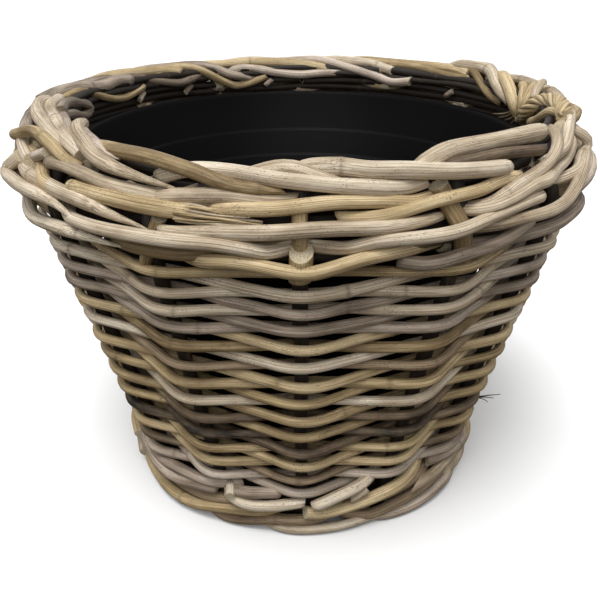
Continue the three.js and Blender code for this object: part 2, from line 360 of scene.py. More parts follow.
def cut_rattan():
    """The pale, fibrous face of a cut end."""
    paint = Paint(bpy.data.materials.new("cut_end"))
    place = paint.stored("rod_place", "Vector")
    pores = paint.node("ShaderNodeTexVoronoi", {}, {"Vector": paint.stretched(place, CUT_PORES)})
    speckle = paint.noise(place, CUT_SPECKLE, detail=3.0)
    holes = paint.steps(pores, none_at=0.45, full_at=0.15)
    face = paint.ramp(speckle, [(0.3, CUT_SHADE), (0.7, CUT_LIGHT)])
    return paint.finish({
        "Base Color": paint.mix(0.6 * holes, face, DARK_STAIN),
        "Roughness": 0.85,
        "Normal": paint.bump(speckle - 0.5 * holes, strength=0.6, distance=0.0007),
        "Specular IOR Level": 0.25,
    })


cut_face = cut_rattan()
print("cut ends", cut_face.name)

# %% [markdown]
# A rod is swept along a path of points. Blender's curves with a round bevel would give a tube as
# well, but with the path in our own hands each ring of points can have its own thickness and
# slant. The path is rounded at its bends, the way a stiff stick bends.

# %% Paths
RING_SPACING = 0.0045
FINE_SPACING = 0.001
SHORT_BEND = 0.006
STEPS_BETWEEN_PLACES = 12
WAVES = 4
WAVE_SPREAD = (0.5, 1.6)
NEARLY_NOTHING = 1e-9


def path_lengths(points):
    """How far each point lies along a path."""
    return np.r_[0.0, np.cumsum(np.linalg.norm(np.diff(points, axis=0), axis=1))]


def resample(points, spacing):
    """Points at an even spacing along a path."""
    lengths = path_lengths(points)
    count = max(int(round(lengths[-1] / spacing)), 3)
    even = np.linspace(0.0, lengths[-1], count + 1)
    return np.stack([np.interp(even, lengths, points[:, axis]) for axis in range(3)], axis=1)


def round_bends(points, width=0.014):
    """A path whose corners are rounded over the stated length."""
    fine = resample(np.asarray(points, float), FINE_SPACING)
    half = max(int(width / (2 * FINE_SPACING)), 1)
    steps = np.arange(1, half + 1)[:, None]
    for _ in range(2):
        before = fine[0] + (fine[0] - fine[1]) * steps[::-1]
        after = fine[-1] + (fine[-1] - fine[-2]) * steps
        sums = np.cumsum(np.r_[np.zeros((1, 3)), before, fine, after], axis=0)
        fine = (sums[2 * half + 1:] - sums[:-2 * half - 1]) / (2 * half + 1)
    return resample(fine, RING_SPACING)


def through(places):
    """A smooth path through given places."""
    points = np.asarray(places, float)
    ends = np.concatenate([[2 * points[0] - points[1]], points, [2 * points[-1] - points[-2]]])
    path = []
    for before, here, after, beyond in zip(ends, ends[1:], ends[2:], ends[3:]):
        for way in np.linspace(0.0, 1.0, STEPS_BETWEEN_PLACES, endpoint=False):
            bend = (2 * before - 5 * here + 4 * after - beyond) * way * way
            bend += (3 * here - before - 3 * after + beyond) * way ** 3
            path.append(here + ((after - before) * way + bend) / 2)
    path.append(points[-1])
    return round_bends(path, SHORT_BEND)


def directions(points):
    """Two directions across a path: outwards from the basket's axis, and along its wall."""
    along = np.gradient(points, axis=0)
    along /= np.linalg.norm(along, axis=1)[:, None]
    outward = points * (1.0, 1.0, 0.0)
    outward /= np.maximum(np.linalg.norm(outward, axis=1), NEARLY_NOTHING)[:, None]
    outward -= along * np.sum(outward * along, axis=1)[:, None]
    outward /= np.maximum(np.linalg.norm(outward, axis=1), NEARLY_NOTHING)[:, None]
    return outward, np.cross(along, outward)


def wander(chance, lengths, amount, wavelength):
    """A smooth random wave along a rod, made of a few plain waves."""
    total = np.zeros_like(lengths)
    for _ in range(WAVES):
        phase = chance.uniform(0, 2 * math.pi)
        total += np.sin(lengths * 2 * math.pi / (wavelength * chance.uniform(*WAVE_SPREAD)) + phase)
    return total * amount / (WAVES / 2)


print("path helpers ready")

# %% [markdown]
# The mesh of a rod is a net of rings with a fan of faces at each end. Its skin and its cut faces
# are two materials, and it stores the three values that they read. Building it from plain lists
# of points and faces is fast, and nothing is left of the steps in between.

# %% The mesh of a rod
def store(mesh, name, kind, field, values):
    """Stores one value on every point of a mesh."""
    made = mesh.attributes.new(name, kind, "POINT")
    made.data.foreach_set(field, np.asarray(values, np.float32).ravel())


def rod_object(name, nodes, look, tone, corners, straight, scar):
    """Builds a rod from the corners of its rings, and makes it stand for nodes of the model."""
    count, sides = corners.shape[:2]
    vertices = corners.reshape(-1, 3)
    vertices = np.concatenate([vertices, [vertices[:sides].mean(axis=0), vertices[-sides:].mean(axis=0)]])
    start, end = len(vertices) - 2, len(vertices) - 1
    faces = []
    for ring in range(count - 1):
        for side in range(sides):
            corner = ring * sides + side
            beside = ring * sides + (side + 1) % sides
            faces.append((corner, beside, beside + sides, corner + sides))
    kinds = np.r_[np.zeros(len(faces), int), np.ones(2 * sides, int)]
    for side in range(sides):
        after = (side + 1) % sides
        faces.append((start, after, side))
        faces.append((end, (count - 1) * sides + side, (count - 1) * sides + after))
    mesh = bpy.data.meshes.new(name)
    mesh.from_pydata(vertices.tolist(), [], faces)
    mesh.materials.append(skins[look])
    mesh.materials.append(cut_face)
    mesh.polygons.foreach_set("material_index", kinds)
    mesh.polygons.foreach_set("use_smooth", kinds == 0)
    flat = straight.reshape(-1, 3)
    middles = [flat[:sides].mean(axis=0), flat[-sides:].mean(axis=0)]
    store(mesh, "rod_place", "FLOAT_VECTOR", "vector", np.concatenate([flat, middles]))
    store(mesh, "rod_tone", "FLOAT", "value", np.full(len(vertices), tone))
    store(mesh, "knot", "FLOAT", "value", np.r_[np.repeat(scar, sides), 0.0, 0.0])
    mesh.update()
    piece = add_object(name, mesh)
    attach(piece, "basket")
    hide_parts(*nodes)


print("rod mesh ready")

# %% [markdown]
# The rod builder. Every stick of rattan is a little oval and wavy, thicker here and there, with a
# swelling and a scar at each knot. Each rod draws its random numbers from its own name, so it
# stays the same when others change. `cuts` says how slanted each end is, as a share of the rod's
# thickness, `turns` which side the slant looks to, and `tips` how thick each end is next to the
# rest of the rod.

# %% Rods
ROD_SIDES = 12
FIRST_KNOT = (0.02, 0.22)
KNOT_GAP = (0.16, 0.26)
LAST_KNOT_BEFORE_END = 0.01
RINGS_AT_A_KNOT = (-0.003, -0.0012, 0.0, 0.0012, 0.003)
CLOSEST_RINGS = 2e-4
SCAR_WIDTH = 0.0013
SCAR_RISE = 0.06
SWELLING_WIDTH = 0.006
SWELLING_RISE = 0.05
OVAL = 0.04
UNEVEN_THICKNESS = 0.035
THICKNESS_WAVE = 0.12
UPWARD_WAVE = 0.11
OUTWARD_WAVE = 0.09
OUTWARD_SHARE = 0.6


def at_lengths(rings, lengths, values):
    """Values of a path at the stated lengths along it."""
    return np.stack([np.interp(rings, lengths, values[:, axis]) for axis in range(3)], axis=2)


def make_rod(name, nodes, look, radius, points, sides=ROD_SIDES, cuts=(0.5, 0.5), turns=None,
             tips=(1.0, 1.0), tip_length=0.02, knots=None, waviness=0.0005, tone=None):
    """Sweeps a rattan rod along a path. Its radius and its points are in metres."""
    chance = np.random.default_rng(list(name.encode()))
    lengths = path_lengths(points)
    total = lengths[-1]
    outward, upward = directions(points)
    points = points + upward * wander(chance, lengths, waviness, UPWARD_WAVE)[:, None]
    points = points + outward * wander(chance, lengths, waviness * OUTWARD_SHARE, OUTWARD_WAVE)[:, None]
    if knots is None:
        first_knot, gap = chance.uniform(*FIRST_KNOT), chance.uniform(*KNOT_GAP)
        knots = np.arange(first_knot, total - LAST_KNOT_BEFORE_END, gap)
    # Besides the even rings, each knot gets a few close ones that can hold its shape.
    extra = [knot + step for knot in knots for step in RINGS_AT_A_KNOT]
    stations = np.unique(np.clip(np.r_[lengths, extra], 0.0, total))
    stations = stations[np.r_[True, np.diff(stations) > CLOSEST_RINGS]]
    scar = np.zeros_like(stations)
    thickness = 1.0 + wander(chance, stations, UNEVEN_THICKNESS, THICKNESS_WAVE)
    for knot in knots:
        nearness = np.exp(-((stations - knot) / SCAR_WIDTH) ** 2)
        scar = np.maximum(scar, nearness)
        swelling = np.exp(-((stations - knot) / SWELLING_WIDTH) ** 2)
        thickness += SCAR_RISE * nearness + SWELLING_RISE * swelling
    thickness *= np.interp(stations, [0.0, tip_length], [tips[0], 1.0])
    thickness *= np.interp(stations, [total - tip_length, total], [1.0, tips[1]])

    # A ring near an end is pushed back to the plane of the cut.
    angles = np.arange(sides) * 2 * math.pi / sides
    turns = chance.uniform(0, 2 * math.pi, 2) if turns is None else turns
    rings = np.repeat(stations[:, None], sides, axis=1)
    rings = np.maximum(rings, radius * cuts[0] * (1 + np.cos(angles - turns[0]))[None, :])
    rings = np.minimum(rings, total - radius * cuts[1] * (1 + np.cos(angles - turns[1]))[None, :])
    oval = 1.0 + OVAL * np.cos(2 * (angles - chance.uniform(0, math.pi)))
    across_out = radius * thickness[:, None] * (oval * np.cos(angles))[None, :]
    across_up = radius * thickness[:, None] * (oval * np.sin(angles))[None, :]
    corners = at_lengths(rings, lengths, points)
    corners = corners + at_lengths(rings, lengths, outward) * across_out[..., None]
    corners = corners + at_lengths(rings, lengths, upward) * across_up[..., None]
    # The straight rod lies at a place of its own, so that no two rods have the same patches.
    straight = np.stack([across_out, across_up, rings], axis=2) + chance.uniform(-1, 1, 3)
    tone = chance.uniform(0.0, 1.0) if tone is None else tone
    rod_object(name, nodes, look, tone, corners, straight, scar)


print("rod builder ready")

# %% [markdown]
# The wall of the basket is a cone that leans in near the top, and the border is a roll round the
# uprights' top ends. Places could be written in metres, but nobody could tell from them what a
# rod passes. So a place on the wall is a bay, a height and a distance out from the uprights.
# Whole bays are the uprights, counted from the back: 3 and 4 are on the left, 7 is at the front,
# and 10 and 11 are on the right. A place on the roll is a bay, a turn in degrees (0 outside, 90
# on top, 180 inside) and a distance from the roll's middle. Heights and distances are in
# millimetres there.

# %% The shape of the basket
MM = 0.001
UPRIGHTS = 14
BAY = 2 * math.pi / UPRIGHTS
UPRIGHT_RADIUS = 4.5
WEAVER_RADIUS = 3.3
UPSETT_RADIUS = 4.5
FOOT_RADIUS = 4.7
BORDER_RADIUS = 4.8
CLEARANCE = 0.3
WALL_RADIUS_AT_GROUND = 130.0
WALL_SLOPE = 0.27
RING_RADIUS = 187.0
LOOSER_THAN_TOUCHING = 1.06
BORDER_RISE = 0.6
FOOT_RISE = 1.3
# How far the uprights stand from their even places, in bays.
UPRIGHT_ERROR = 0.03
FRONT_UPRIGHTS = slice(6, 9)
FRONT_UPRIGHT_ERRORS = (0.02, -0.01, 0.03)


def low(node):
    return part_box(node)[0][2] / MM


def high(node):
    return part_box(node)[1][2] / MM


roll_radius = (UPRIGHT_RADIUS + BORDER_RADIUS + CLEARANCE) * LOOSER_THAN_TOUCHING
roll_centre = high("border_rod_01") + BORDER_RISE - roll_radius - BORDER_RADIUS
foot_height = high("foot_rod_a") / 2 + FOOT_RISE
upsett_height = (low("upsett_rod_a") + high("upsett_rod_a")) / 2
lean_start = (high("wale_rod_1_a") + low("wale_rod_2_a")) / 2
lean_radius = WALL_RADIUS_AT_GROUND + WALL_SLOPE * lean_start
lean_slope = (RING_RADIUS - lean_radius) / (roll_centre - lean_start)
random = np.random.default_rng(7)
upright_shift = random.uniform(-UPRIGHT_ERROR, UPRIGHT_ERROR, UPRIGHTS)
upright_shift[FRONT_UPRIGHTS] = FRONT_UPRIGHT_ERRORS
print("wall leans in above", round(lean_start, 1), "and the roll's middle is at", round(roll_centre, 1))


# %% Places on the wall and on the roll
def slope_at(height):
    return lean_slope if height > lean_start else WALL_SLOPE


def wall_radius(height):
    return lean_radius + slope_at(height) * (height - lean_start)


def around(bay, radius, height):
    """A point in metres at a bay, moved by the error in place of the uprights beside it."""
    before = math.floor(bay)
    share = bay - before
    first, second = upright_shift[before % UPRIGHTS], upright_shift[(before + 1) % UPRIGHTS]
    angle = (bay + first * (1 - share) + second * share) * BAY + math.pi
    return np.array([radius * math.sin(angle), -radius * math.cos(angle), height]) * MM


def wall(bay, height, out):
    return around(bay, wall_radius(height) + out * math.hypot(1.0, slope_at(height)), height)


def roll(bay, turn, lift):
    angle = math.radians(turn)
    return around(bay, RING_RADIUS + lift * math.cos(angle), roll_centre + lift * math.sin(angle))


def on_wall(*places):
    return [wall(*place) for place in places]


def on_roll(*places):
    return [roll(*place) for place in places]


print("front of the wall at half height", wall(7, 150, 0).round(3))

# %% [markdown]
# The uprights are straight sticks in shadow behind the weave, and everything else is woven round
# them. Their colour is painted shade: the dark look at a low tone, near its darkest colour. Plain
# round bars would nearly do, but a stretch of each shows between the thick rods, so they are
# swept like the others. Extra sticks were pushed in beside three of them at the front, and the
# cut ends of those show.

# %% Uprights
UPRIGHT_ABOVE_GROUND = 1.0
TOP_BELOW_THE_MODEL = (0.5, 3.0)
for number in range(UPRIGHTS):
    node = f"upright_{number + 1:02d}"
    top = high(node) - random.uniform(*TOP_BELOW_THE_MODEL)
    line = on_wall((number, low(node) + UPRIGHT_ABOVE_GROUND, 0), (number, lean_start, 0), (number, top, 0))
    name = f"{node}_stick"
    # The low tone paints shade on the uprights, for the shadow behind the weave.
    make_rod(name, [node], DARK, UPRIGHT_RADIUS * MM, round_bends(line), waviness=0.0003, tone=-0.4)

# Each side stick has the upright beside it, its radius and its places.
SIDE_STICKS = [
    ("upright_08", 6.4, [(7.0, 236, 5), (7.0, 248, 5), (7.0, 258, 5)]),
    ("upright_08", 4.2, [(7.0, 250, 2), (7.0, 265, 3.5), (7.0, 281, 4.5)]),
    ("upright_07", 4.1, [(5.93, 232, 4), (6.02, 250, 4), (6.1, 269, 4)]),
    ("upright_09", 5.2, [(8.06, 234, 3), (7.97, 259.5, 3), (7.92, 270, 3), (7.84, 285, 3)]),
]
for count, (node, radius, places) in enumerate(SIDE_STICKS):
    name = f"{node}_side_stick_{count + 1}"
    line = through(on_wall(*places))
    make_rod(name, [node], GOLD, radius * MM, line,
             sides=16, cuts=(0.2, 0.4), turns=(0.0, 0.0), knots=[], tone=0.0)
print("uprights", UPRIGHTS, "and side sticks", len(SIDE_STICKS))

# %% [markdown]
# The weavers fill the wall. Each row goes outside one upright and inside the next, and the next
# row the other way round. A smooth wave would look too soft: a rod is stiff, so it runs almost
# straight from one upright to the next and bends sharply where it goes round the outside. The
# weaver pushed some rows up a little, most of all in the upper half of the wall.

# %% The rows of the weave
ROWS = 26
# How far the rows at these heights were pushed up.
PUSHED_HEIGHTS = [40, 90, 140, 185, 215, 230]
PUSHED_UP = [1.5, 2, 4.5, 6, 2.5, 0.5]
UNEVEN_ROWS = 0.55
BEND_REACH = 0.8
BEND_HALF_WIDTH = UPRIGHT_RADIUS + 1.0
first_row = low("weaver_b_1") + WEAVER_RADIUS
last_row = high("weaver_a_5") - WEAVER_RADIUS
row_pitch = (last_row - first_row) / (ROWS - 1)
row_unevenness = random.normal(0.0, UNEVEN_ROWS, (ROWS + 2, UPRIGHTS))


def row_height(first, bay):
    """How high a set's rod lies at an upright. At the back it climbs to its next row."""
    turn, upright = divmod(bay, UPRIGHTS)
    height = first_row + row_pitch * (first + 2 * turn)
    pushed = np.interp(height, PUSHED_HEIGHTS, PUSHED_UP)
    return height + pushed + row_unevenness[first + 2 * turn, upright]


def weaver_path(first, start, end, radius):
    """The bends of a weaver from one upright to another."""
    reach = UPRIGHT_RADIUS + radius + CLEARANCE
    path = []
    for bay in range(start, end + 1):
        height = row_height(first, bay)
        if (bay - first) % 2 == 0:
            path.append(wall(bay, height, -reach))
        else:
            half_width = BEND_HALF_WIDTH / (wall_radius(height) * BAY)
            path.append(wall(bay - half_width, height, reach + BEND_REACH))
            path.append(wall(bay + half_width, height, reach + BEND_REACH))
    return path


print("rows", ROWS, "at a pitch of", round(row_pitch, 2), "mm, from", round(first_row, 1))

# %% [markdown]
# A rod isn't long enough for a whole set, so another is laid in at the back, often one of another
# colour. One long rod to a set would be simpler, but then the wall would lose its stripes. The
# lists give the colour of each row at the front, from the foot up.

# %% Weavers
RODS_IN_A_SET = 5
SHORTEST_PART = 2
WEAVER_SPREAD = (0.94, 1.1)
LOOKS_INSIDE_THE_FRONT_UPRIGHT = [
    GREY, GOLD, GOLD, DARK, DARK, PALE, GOLD, DARK, GOLD, GREY, PALE, PALE, GOLD,
]
LOOKS_OUTSIDE_THE_FRONT_UPRIGHT = [
    GREY, DARK, GOLD, DARK, GOLD, GOLD, GOLD, GOLD, PALE, GOLD, GREY, GREY, PALE,
]


def lay_weavers(letter, first, looks):
    """A set of rods, which starts in the row and at the upright with the number `first`."""
    turns = ROWS // 2
    last = turns * UPRIGHTS - 2 + first
    share = (last - first) / RODS_IN_A_SET
    joints = [first + 2 * round(rod * share / 2) for rod in range(RODS_IN_A_SET + 1)]
    backs = [first + UPRIGHTS * turn for turn in range(1, turns)]
    for rod in range(RODS_IN_A_SET):
        node = f"weaver_{letter}_{rod + 1}"
        nearest, furthest = joints[rod] + SHORTEST_PART, joints[rod + 1] - SHORTEST_PART
        stops = [joints[rod], *[back for back in backs if nearest < back < furthest], joints[rod + 1]]
        for part, (start, end) in enumerate(zip(stops, stops[1:])):
            radius = WEAVER_RADIUS * random.uniform(*WEAVER_SPREAD)
            path = round_bends(weaver_path(first, start, end, radius))
            look = looks[min((start + end) // 2 // UPRIGHTS, turns - 1)]
            make_rod(f"{node}_part_{part + 1}", [node], look, radius * MM, path, waviness=0.0006)


lay_weavers("a", 1, LOOKS_INSIDE_THE_FRONT_UPRIGHT)
lay_weavers("b", 0, LOOKS_OUTSIDE_THE_FRONT_UPRIGHT)
print("weavers laid, bent", ROWS, "times round the basket")

# %% [markdown]
# The foot and the band above it, the upsett, are made of three thick rods each. A rod passes
# outside two uprights and inside the third, so the three look like a rope. At the back and the
# sides a loop lays them from six bends that repeat. At the front the real ones lie less evenly,
# with cut ends, so there they are laid one by one further down.

# %% Foot and upsett at the sides and the back
FIRST_HALF_BAY = 18
LAST_HALF_BAY = 37
BAND_BEND = 0.02
TIGHTER_STACK = 0.96
FOOT_BULGE = 2.0


def band_path(height, radius, strand, bulge):
    """The bends of one strand of a band, from the right round the back to the left."""
    inside = UPRIGHT_RADIUS + radius + CLEARANCE
    outside = inside * LOOSER_THAN_TOUCHING + bulge
    stack = (radius + CLEARANCE / 2) * TIGHTER_STACK
    chord = wall_radius(height) * (1 - math.cos(BAY / 2))
    bends = [
        (-inside, 0.0), (-chord, stack), (outside, stack),
        (outside + radius / 3, 0.0), (outside, -stack), (-chord, -stack),
    ]
    path = []
    for half in range(FIRST_HALF_BAY, LAST_HALF_BAY + 1):
        out, up = bends[(half + 2 * strand) % len(bends)]
        path.append(wall(half / 2, height + up, out))
    return path


def strands(band):
    """The three rods of a band, by their names in the model."""
    return [f"{band}_{letter}" for letter in "abc"]


def lay_band(band, height, radius, looks, bulge=0.0):
    for strand, (node, look) in enumerate(zip(strands(band), looks)):
        path = round_bends(band_path(height, radius, strand, bulge), BAND_BEND)
        make_rod(f"{node}_rod", [node], look, radius * MM, path, waviness=0.0006)


lay_band("foot_rod", foot_height, FOOT_RADIUS, [GREY, PALE, GOLD], FOOT_BULGE)
lay_band("upsett_rod", upsett_height, UPSETT_RADIUS, [PALE, GOLD, GREY])
print("foot at", round(foot_height, 1), "and upsett at", round(upsett_height, 1))

# %% [markdown]
# The top bands close the wall with four rows of thick rods. At the sides and the back each rod
# covers one upright and tucks in beside the next. A loop lays them, row by row: the photograph
# doesn't show these rods one by one, so the pattern is all that there is to follow.

# %% Top bands at the sides and the back
BAND_ROD_RADIUS = 4.5
BAND_ROD_SPREAD = (0.92, 1.08)
BANDED_BAYS = 8
# Each row has its height, its first bay and the node that it stands for.
BAND_ROWS = [
    (247.0, 11, "wale_rod_1_a"),
    (260.0, 10, "wale_rod_1_b"),
    (268.5, 11, "wale_rod_2_a"),
    (276.0, 10, "wale_rod_2_b"),
]
# How far out a rod lies at so many bays from the upright that it covers.
OVER_AN_UPRIGHT = [(1.1, -9.0), (0.55, 2.0), (0.25, 8.5), (0.0, 10.3)]
UNEVEN_ROD = 1.5
UNEVEN_PLACE = 1.0
BAND_LOOKS = [PALE, GREY, GOLD]
across_an_upright = [(-away, out) for away, out in OVER_AN_UPRIGHT]
across_an_upright += OVER_AN_UPRIGHT[-2::-1]
count = 0
for height, first, node in BAND_ROWS:
    for bay in range(first, first + BANDED_BAYS, 2):
        middle = height + random.uniform(-UNEVEN_ROD, UNEVEN_ROD)
        places = []
        for away, out in across_an_upright:
            places.append(wall(bay + away, middle + random.uniform(-UNEVEN_PLACE, UNEVEN_PLACE), out))
        count += 1
        look = BAND_LOOKS[count % 3]
        radius = BAND_ROD_RADIUS * random.uniform(*BAND_ROD_SPREAD) * MM
        make_rod(f"{node}_back_{bay}", [node], look, radius, through(places), sides=14)
print("rods of the top bands", count)

# %% [markdown]
# Each band also has rods that run along the inside of the uprights. They lie in shadow, and all
# that shows of them is that the gaps between the outer rods are dark. Their colour is painted
# shade as well: they take the dark look at a tone far below the rest, so they come out nearly
# black. A dark wall behind the gaps would do that too, but rods leave the small chinks of a real
# basket. A loop lays them as rings of a few bays each.

# %% Rods on the inside of the uprights
INSIDE_OUT = -(UPRIGHT_RADIUS + 3.6)
INSIDE_OUT_AT_THE_TOP = -5.5
BAYS_EACH = 5
INSIDE_OVERLAP = 0.3
PLACE_EVERY = 0.5
UNEVEN_HEIGHT = 0.6


def lay_inside(nodes, radius, out, heights, first, last):
    """Rods along the inside of the wall, from one bay to another, near black as painted shade."""
    for height in heights:
        for number, start in enumerate(range(first, last, BAYS_EACH)):
            node = nodes[(number + int(height)) % len(nodes)]
            stop = min(start + BAYS_EACH, last) + INSIDE_OVERLAP
            places = []
            for bay in np.arange(start, stop, PLACE_EVERY):
                places.append(wall(bay, height + random.uniform(-UNEVEN_HEIGHT, UNEVEN_HEIGHT), out))
            name = f"{node}_inside_{int(height)}_{number + 1}"
            # A tone of -2.0 gives the dark look's near-black colour: painted shade for rods in the wall's
            # shadow.
            make_rod(name, [node], DARK, radius * MM, through(places), sides=8, tone=-2.0)


band_nodes = strands("wale_rod_1") + strands("wale_rod_2")
border_nodes = [f"border_rod_{number + 1:02d}" for number in range(UPRIGHTS)]
# Each group has its nodes, its radius, how far out it lies, its heights, and its first and last bay.
INSIDE_RODS = [
    (band_nodes, 3.3, INSIDE_OUT, [247, 253.5, 260, 266.5, 273], 5, 19),
    (border_nodes, 3.3, INSIDE_OUT, [279.5, 286], 4, 18),
    (border_nodes, 3.3, INSIDE_OUT_AT_THE_TOP, [291.5], 8, 19),
    (strands("upsett_rod"), 3.6, INSIDE_OUT, [26, 33, 40], 4, 18),
    (strands("foot_rod"), 3.6, INSIDE_OUT + 0.5, [5, 12, 19], 4, 18),
]
for group in INSIDE_RODS:
    lay_inside(*group)
print("inside rods laid")

# %% [markdown]
# At the front the rods of the foot cross each other as the weaver pulled them, and some end in a
# cut. A loop's even pattern would look like another basket there. So these rods, and those of the
# top bands and the border, were laid one by one with the photograph beside them. A rod is
# written as the node that it stands for, its look, its radius in millimetres and the few places
# that it goes through, and a smooth curve joins the places.

# %% Foot at the front
def lay(node, look, radius, places, **options):
    """One rod laid through given places."""
    count = sum(piece.name.startswith(f"{node}_laid") for piece in bpy.data.objects)
    options.setdefault("sides", 16)
    make_rod(f"{node}_laid_{count + 1}", [node], look, radius * MM, through(places), **options)


PLAIN_CUT = {"cuts": (0.3, 0.3), "knots": []}
lay("upsett_rod_a", GREY, 4.2, on_wall(
    (4.3, 33, 2), (4.6, 33, 9), (5.0, 29, 12), (5.4, 29, 12), (5.76, 34, 10), (5.9, 35, 9),
    (6.02, 34.5, 6)))
lay("foot_rod_a", GOLD, 4.7, on_wall(
    (4.2, 14, 3), (4.6, 12, 11), (5.0, 9, 14), (5.3, 8.5, 15), (5.63, 9.5, 14), (5.89, 14, 12),
    (6.12, 17.5, 10.5), (6.32, 19, 9.5), (6.55, 19, 6), (6.8, 18, -3)))
lay("upsett_rod_b", PALE, 4.3, on_wall(
    (6.1, 33, 6), (6.24, 32, 10), (6.41, 30.5, 11), (6.65, 32, 11), (6.87, 34, 10.5), (7.05, 35.5, 9)),
    tone=1.1, **PLAIN_CUT)
lay("upsett_rod_a", GREY, 4.4, on_wall(
    (6.12, 38, 8), (6.22, 38.5, 8), (6.42, 40.5, 8), (6.6, 42.5, 7.5), (6.76, 41, 5)), cuts=(0.2, 0.5),
    knots=[])
lay("foot_rod_b", DARK, 4.2, on_wall(
    (5.6, 9, 3), (5.85, 7, 9), (6.04, 5.2, 11), (6.3, 7, 10.5), (6.62, 11, 10), (7.04, 15, 9.5),
    (7.3, 17, 6), (7.55, 17, -3)), tone=0.9)
lay("foot_rod_a", PALE, 3.9, on_wall(
    (6.4, 8, 2), (6.65, 5.4, 9), (6.92, 4.9, 12), (7.22, 4.9, 12), (7.5, 5.1, 11.5), (7.75, 5.8, 10),
    (8.0, 7, 9), (8.3, 9, 3)))
lay("upsett_rod_c", PALE, 4.6, on_wall(
    (7.12, 35.5, 13.5), (7.24, 40, 12.5), (7.38, 45.5, 11.5), (7.53, 49, 10), (7.68, 50.5, 6),
    (7.9, 50.5, -5)), **PLAIN_CUT)
lay("upsett_rod_c", PALE, 3.6, on_wall((7.5, 37, 11.5), (7.58, 40, 11.5), (7.69, 45, 10)), **PLAIN_CUT)
lay("upsett_rod_b", GOLD, 4.9, on_wall(
    (7.02, 25.5, 11), (7.15, 24, 11.5), (7.31, 25.5, 11.5), (7.57, 30, 11), (7.74, 32.5, 11),
    (7.96, 37, 11), (8.15, 40, 9), (8.4, 40, 2), (8.6, 39, -5)), tone=0.9, **PLAIN_CUT)
lay("upsett_rod_a", PALE, 4.1, on_wall(
    (8.24, 27, 11), (8.46, 29, 11), (8.65, 28.5, 11), (8.84, 30, 11), (9.1, 30, 10), (9.4, 32, 5)),
    cuts=(2.0, 0.3), knots=[])
lay("foot_rod_b", GREY, 4.4, on_wall(
    (7.7, 8, 2), (7.9, 5.5, 9), (8.15, 5, 13), (8.45, 6, 15), (8.8, 8.5, 15), (9.15, 10, 13),
    (9.5, 12, 4)))
lay("foot_rod_c", DARK, 4.2, on_wall(
    (7.5, 9, 2), (7.76, 9.5, 9), (7.94, 12, 10), (8.15, 16, 11), (8.4, 18.5, 11.5), (8.7, 20, 11),
    (9.0, 21, 9), (9.3, 23, 3)), tone=1.0)
lay("upsett_rod_c", GREY, 4.3, on_wall(
    (8.6, 40, 3), (8.85, 41, 8), (9.1, 40, 10), (9.35, 37, 10), (9.6, 33, 7)))
lay("upsett_rod_b", GREY, 4.0, on_wall(
    (4.4, 34, 2), (4.75, 33, 7), (5.1, 35, 8), (5.35, 38, 8), (5.6, 40, 8), (5.85, 41, 8),
    (6.05, 42, 6), (6.3, 42, 0)))
lay("upsett_rod_b", PALE, 3.2, on_wall(
    (6.14, 43, 4), (6.2, 41.5, 10), (6.22, 40.5, 15)), tone=1.4, cuts=(0, 0), knots=[])
lay("foot_rod_c", DARK, 4.3, on_wall(
    (4.4, 22, 0), (4.8, 20, 7), (5.2, 18.5, 8), (5.6, 19.5, 8), (5.9, 22, 7.5), (6.2, 26, 5),
    (6.45, 28, -3)), tone=0.9)
# Painted shade: this filler in a gap of the foot takes the dark look so that it reads as the gap's shadow.
lay("foot_rod_c", DARK, 4.2, on_wall(
    (7.5, 24, 2), (7.9, 25, 5.5), (8.2, 27, 6), (8.5, 30, 5), (8.8, 32, -2)), tone=0.6)
print("foot laid at the front")

# %% [markdown]
# In front, too, the top bands are thick rods that pass over one or two uprights and slip behind the
# next, but no two do it alike. They are laid like the rods of the foot, the lower rows first.
# Where a rod thins out to a point, `tips` says how thin it gets and `tip_length` over what length.

# %% Top bands at the front, lower rods
lay("wale_rod_1_a", PALE, 4.4, on_wall(
    (4.3, 252, 2), (4.6, 246, 8), (4.75, 242.5, 10), (5.0, 244.5, 10), (5.3, 248.5, 9.5), (5.5, 249, 9),
    (5.7, 248.5, 8), (5.85, 248, 7)), tips=(1.0, 0.12), tip_length=0.045)
lay("wale_rod_1_a", GOLD, 4.0, on_wall(
    (6.05, 246, -9), (6.3, 245, 0), (6.45, 248.5, 7.5), (6.65, 249.5, 8.5), (7.0, 244.5, 10.5),
    (7.15, 246.5, 9.5), (7.35, 252, 8.5), (7.65, 251, 0), (7.9, 250, -8)), knots=[], tone=0.8)
lay("wale_rod_1_a", GREY, 4.0, on_wall(
    (7.6, 243, -2), (7.75, 243.5, 7), (8.0, 247, 9), (8.2, 248, 9), (8.35, 253, 9), (8.5, 259, 8)))
lay("wale_rod_1_b", PALE, 4.2, on_wall(
    (5.1, 255, -6), (5.35, 257, 4), (5.55, 259, 8), (5.9, 259.3, 10), (6.2, 259.5, 10.5),
    (6.5, 260.3, 9.5), (6.7, 257.5, 7), (6.8, 254, 3), (7.0, 254, -8)), knots=[])
lay("wale_rod_1_b", PALE, 3.8, on_wall(
    (7.0, 254, -7), (7.25, 256, 2), (7.4, 261, 7), (7.6, 262.5, 9.5), (7.9, 263, 10.5), (8.2, 266, 10),
    (8.45, 268, 9.5), (8.65, 268, 8.5)), cuts=(0.5, 0.2), knots=[], tone=0.8)
lay("wale_rod_1_c", GOLD, 4.0, on_wall(
    (5.7, 247, 0), (6.0, 249, 7), (6.3, 250, 4), (6.6, 253, -4), (7.0, 254, -9)), tone=-0.9)
lay("wale_rod_1_c", DARK, 4.0, on_wall(
    (7.0, 252, -9), (7.5, 253, -2), (7.8, 255, -3), (8.1, 256, -3), (8.5, 256, 2), (8.9, 255, -9)))
lay("wale_rod_1_c", GREY, 4.2, on_wall(
    (7.9, 247, -7), (8.3, 246, 2), (8.7, 247, 9), (9.0, 248, 10.5), (9.4, 248, 9), (9.8, 247, -2),
    (10.2, 247, -8)))
